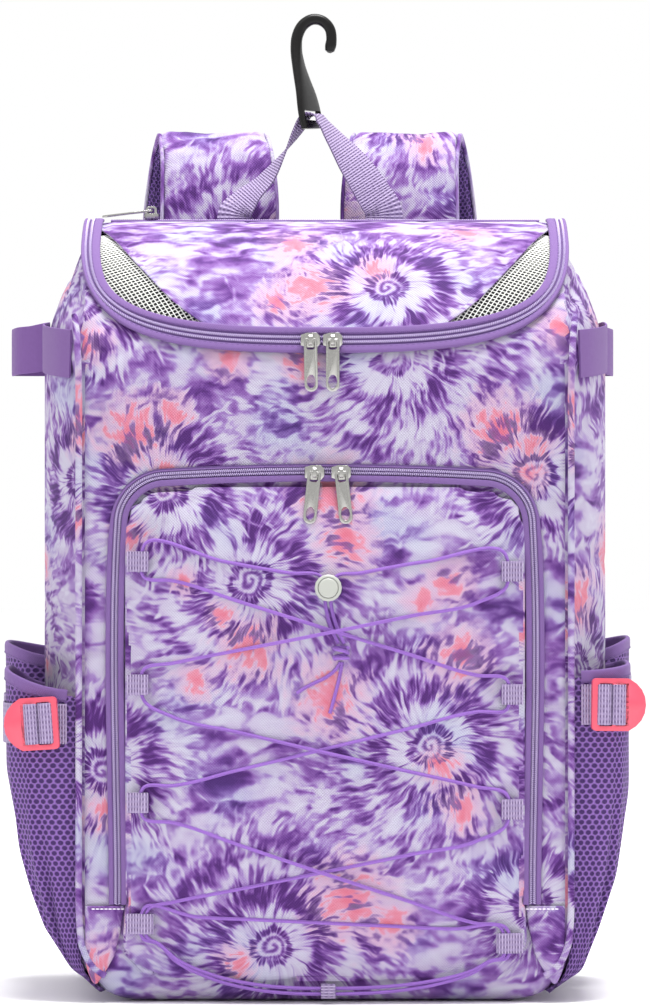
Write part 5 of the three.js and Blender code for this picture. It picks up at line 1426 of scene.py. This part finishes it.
def make_hook():
    """The moulded fence hook: a crook that widens into a paddle with a slot for the handle."""
    rows = [(HOOK_X + x, HANDLE_Y, HOOK_FOOT + z) for x, z, *_ in HOOK_PATH]
    path, thick, broad, turn = resample(rows, 1.4, *list(zip(*HOOK_PATH))[2:])
    hook = sweep("fence_hook_moulded", path, turned_about_z(turn), broad, thick, 0.75, 24)
    bpy.ops.object.select_all(action="DESELECT")
    bpy.ops.mesh.primitive_cube_add(size=1)
    slot = bpy.context.object
    slot.dimensions = ((WEBBING_WIDTH + 2.6) * MM, 24 * MM, 6.4 * MM)
    slot.rotation_euler = (0, 0, math.radians(72))
    slot.location = (HOOK_X * MM, HANDLE_Y * MM, (HOOK_FOOT + 4) * MM)
    bpy.context.view_layer.update()
    modify(hook, "BOOLEAN", operation="DIFFERENCE", object=slot, solver="EXACT")
    bpy.data.objects.remove(slot)
    modify(hook, "BEVEL", width=0.5 * MM, segments=2, limit_method="ANGLE", angle_limit=math.radians(50))
    smooth(hook, 40)
    finished(hook, "black", "fence_hook")


def make_fittings():
    """Zip sliders and pulls in plated zinc, and the cord lock with its button."""
    for name in ("lid_left", "lid_right", "pocket_left", "pocket_right", "top"):
        slider = copied("slider_" + name, "slider_plated_" + name, bevel=0.45)
        finished(slider, "nickel", "slider_" + name)
        pull = copied("pull_" + name, "pull_plated_" + name, bevel=0.35)
        finished(pull, "nickel", "pull_" + name, body="pull_" + name)
    finished(copied("cord_lock", "cord_lock_cup", bevel=0.3, angle=25), "grey", "cord_lock")
    button = copied("lock_button", "lock_button_cap", bevel=0.3, angle=25)
    finished(button, "grey", "lock_button", body="lock_button")


# ---------------------------------------------------------------- stage


def make_stage():
    """A pale floor, soft studio light, and the camera at the photograph's angle."""
    scene = bpy.context.scene
    scene.view_settings.view_transform = "Standard"
    world = bpy.data.worlds.new("Soft white room")
    scene.world = world
    world.use_nodes = True
    sky = world.node_tree
    fill(sky, sky.nodes["Background"], {"Color": linear("FFFFFF"), "Strength": 1.0})
    bpy.ops.object.select_all(action="DESELECT")
    bpy.ops.mesh.primitive_plane_add(size=14)
    floor = bpy.context.object
    floor.name = "floor"
    material, tree, shader = new_material("White paper sweep")
    place = node(tree, "ShaderNodeTexCoord", out="Object")
    grain = node(tree, "ShaderNodeTexNoise", {"Vector": place, "Scale": 400.0})
    tone = node(tree, "ShaderNodeMix", {0: grain, 6: linear("FCFCFC"), 7: linear("FDFDFD")}, data_type="RGBA", out=2)
    fill(tree, shader, {"Base Color": tone, "Roughness": 0.95, "Specular IOR Level": 0.1})
    floor.data.materials.append(material)
    for name, place, goal, wide, power in (
        ("key", (-1.5, -1.7, 2.6), (0, 0, 0.28), 1.2, 10),
        ("top", (0.2, -0.2, 2.6), (0, 0, 0.3), 1.4, 104),
    ):
        bpy.ops.object.light_add(type="AREA", location=place)
        light = bpy.context.object
        light.name = name + "_softbox"
        light.data.shape = "DISK"
        light.data.size = wide
        light.data.energy = power
        light.rotation_euler = (Vector(goal) - Vector(place)).to_track_quat("-Z", "Y").to_euler()
    bpy.ops.object.camera_add(location=(0, -4.1, 0.38), rotation=(math.pi / 2, 0, 0))
    camera = bpy.context.object
    camera.data.sensor_width = 36
    camera.data.lens = 230.7
    camera.data.shift_y = -0.1126
    scene.camera = camera


# ---------------------------------------------------------------- add-on


def length(name, description, default, low, high):
    return bpy.props.FloatProperty(name=name, description=description, default=default * MM, min=low * MM,
                                   max=high * MM, precision=5, subtype="DISTANCE", unit="LENGTH")


def colour_of(name, description, code):
    return bpy.props.FloatVectorProperty(name=name, description=description, default=linear(code)[:3], size=3,
                                         min=0, max=1, subtype="COLOR")


class BackpackSizes(bpy.types.PropertyGroup):
    net_pitch: length("Net pitch", "From one hole of the lid's net to the next", 2.7, 2, 10)
    mesh_pitch: length("Mesh pitch", "From one hole of the side pockets' mesh to the next", 4.0, 2, 10)
    weave_pitch: length("Weave pitch", "From one thread of the printed cloth to the next", 1.8, 0.5, 4)
    coil_pitch: length("Zip coil pitch", "From one turn of the zips' coil to the next", 1.25, 0.9, 3)
    stitch_pitch: length("Stitch pitch", "From one stitch to the next in the purple seams", 3.4, 2.5, 8)
    lace_width: length("Lace width", "Thickness of the lace drawn tight", 2.3, 1.5, 3)


class BackpackColours(bpy.types.PropertyGroup):
    pale: colour_of("Undyed cloth", "The palest colour of the print", "DAD4EA")
    deep: colour_of("Deepest dye", "The darkest colour of the print", "562779")
    pink: colour_of("Pink dye", "The strongest pink of the print", "EC7892")
    mesh: colour_of("Side pockets", "The spacer mesh of the side pockets", "7D5AA0")
    binding: colour_of("Bindings", "Bindings of the zips and pocket rims", "74588F")
    webbing: colour_of("Webbing", "Webbing of the straps, the loops and the handle", "B3A3C5")
    buckle: colour_of("Buckles", "The side straps' ladder locks", "CE495F")


def make(*makers):
    """Runs an operator's makers in order, once the materials are there."""
    if not MATERIALS:
        make_materials()
    for maker in makers:
        maker()
    return {"FINISHED"}


def both_sides(maker):
    return lambda: [maker(name, side) for name, side in SIDES]


def make_side_pockets():
    for name, side in SIDES:
        for kind, pocket in (("bottle_pocket", BOTTLE), ("bat_sleeve", SLEEVE)):
            pocket_wall(kind, pocket, name, side)
            pocket_rim(kind, pocket, name, side)


class BACKPACK_OT_stage(bpy.types.Operator):
    """Lays the floor, the lights and the camera"""

    bl_idname = "backpack.stage"
    bl_label = "Stage"

    def execute(self, context):
        return make(make_stage)


class BACKPACK_OT_lacing(bpy.types.Operator):
    """Laces the pocket: the cord, its knot and free ends, and the webbing loops"""

    bl_idname = "backpack.lacing"
    bl_label = "Lacing"

    def execute(self, context):
        return make(make_lace, make_lace_loops)


class BACKPACK_OT_body(bpy.types.Operator):
    """Makes the padded body, its lid and the lid's two net corners"""

    bl_idname = "backpack.body"
    bl_label = "Body, lid and net"

    def execute(self, context):
        return make(make_body)


class BACKPACK_OT_zips(bpy.types.Operator):
    """Makes the tapes, bindings and coils of the three zips"""

    bl_idname = "backpack.zips"
    bl_label = "Zips"

    def execute(self, context):
        return make(make_lid_zip, make_top_zip, make_pocket_zip)


class BACKPACK_OT_front(bpy.types.Operator):
    """Makes the laced pocket's panel, its gussets and the piping beside it"""

    bl_idname = "backpack.front"
    bl_label = "Front pocket"

    def execute(self, context):
        return make(make_pocket, both_sides(make_gusset), both_sides(make_piping))


class BACKPACK_OT_sides(bpy.types.Operator):
    """Makes the mesh pockets on both sides and their bindings"""

    bl_idname = "backpack.sides"
    bl_label = "Side pockets"

    def execute(self, context):
        return make(make_side_pockets)


class BACKPACK_OT_straps(bpy.types.Operator):
    """Makes the side straps, their ladder locks and the bat loops"""

    bl_idname = "backpack.straps"
    bl_label = "Side straps"

    def execute(self, context):
        return make(both_sides(make_side_strap), both_sides(make_bat_loop))


class BACKPACK_OT_back(bpy.types.Operator):
    """Makes the back panel, the shoulder straps and their webbing"""

    bl_idname = "backpack.back"
    bl_label = "Back"

    def execute(self, context):
        return make(make_back)


class BACKPACK_OT_handle(bpy.types.Operator):
    """Makes the grab handle and the fence hook"""

    bl_idname = "backpack.handle"
    bl_label = "Handle and hook"

    def execute(self, context):
        return make(make_handle, make_hook)


class BACKPACK_OT_fittings(bpy.types.Operator):
    """Makes the zip sliders and pulls, and the cord lock with its button"""

    bl_idname = "backpack.fittings"
    bl_label = "Fittings"

    def execute(self, context):
        return make(make_fittings)


OPERATORS = [
    BACKPACK_OT_stage, BACKPACK_OT_lacing,
    BACKPACK_OT_body, BACKPACK_OT_zips,
    BACKPACK_OT_front, BACKPACK_OT_sides,
    BACKPACK_OT_straps, BACKPACK_OT_back,
    BACKPACK_OT_handle, BACKPACK_OT_fittings,
]


class BACKPACK_PT_panel(bpy.types.Panel):
    """The backpack's sizes, colours and pieces"""

    bl_idname = "BACKPACK_PT_panel"
    bl_label = "Baseball bat backpack"
    bl_space_type = "VIEW_3D"
    bl_region_type = "UI"
    bl_category = "Backpack"

    def draw(self, context):
        for group in (context.scene.backpack_sizes, context.scene.backpack_colours):
            for name in group.__annotations__:
                self.layout.prop(group, name)
        for operator in OPERATORS:
            self.layout.operator(operator.bl_idname)


CLASSES = [BackpackSizes, BackpackColours, *OPERATORS, BACKPACK_PT_panel]


def register():
    for made in CLASSES:
        bpy.utils.register_class(made)
    bpy.types.Scene.backpack_sizes = bpy.props.PointerProperty(type=BackpackSizes)
    bpy.types.Scene.backpack_colours = bpy.props.PointerProperty(type=BackpackColours)


def unregister():
    del bpy.types.Scene.backpack_sizes
    del bpy.types.Scene.backpack_colours
    for made in reversed(CLASSES):
        bpy.utils.unregister_class(made)


def main():
    register()
    for operator in OPERATORS:
        getattr(bpy.ops.backpack, operator.bl_idname.split(".")[1])()


if __name__ == "__main__":
    main()
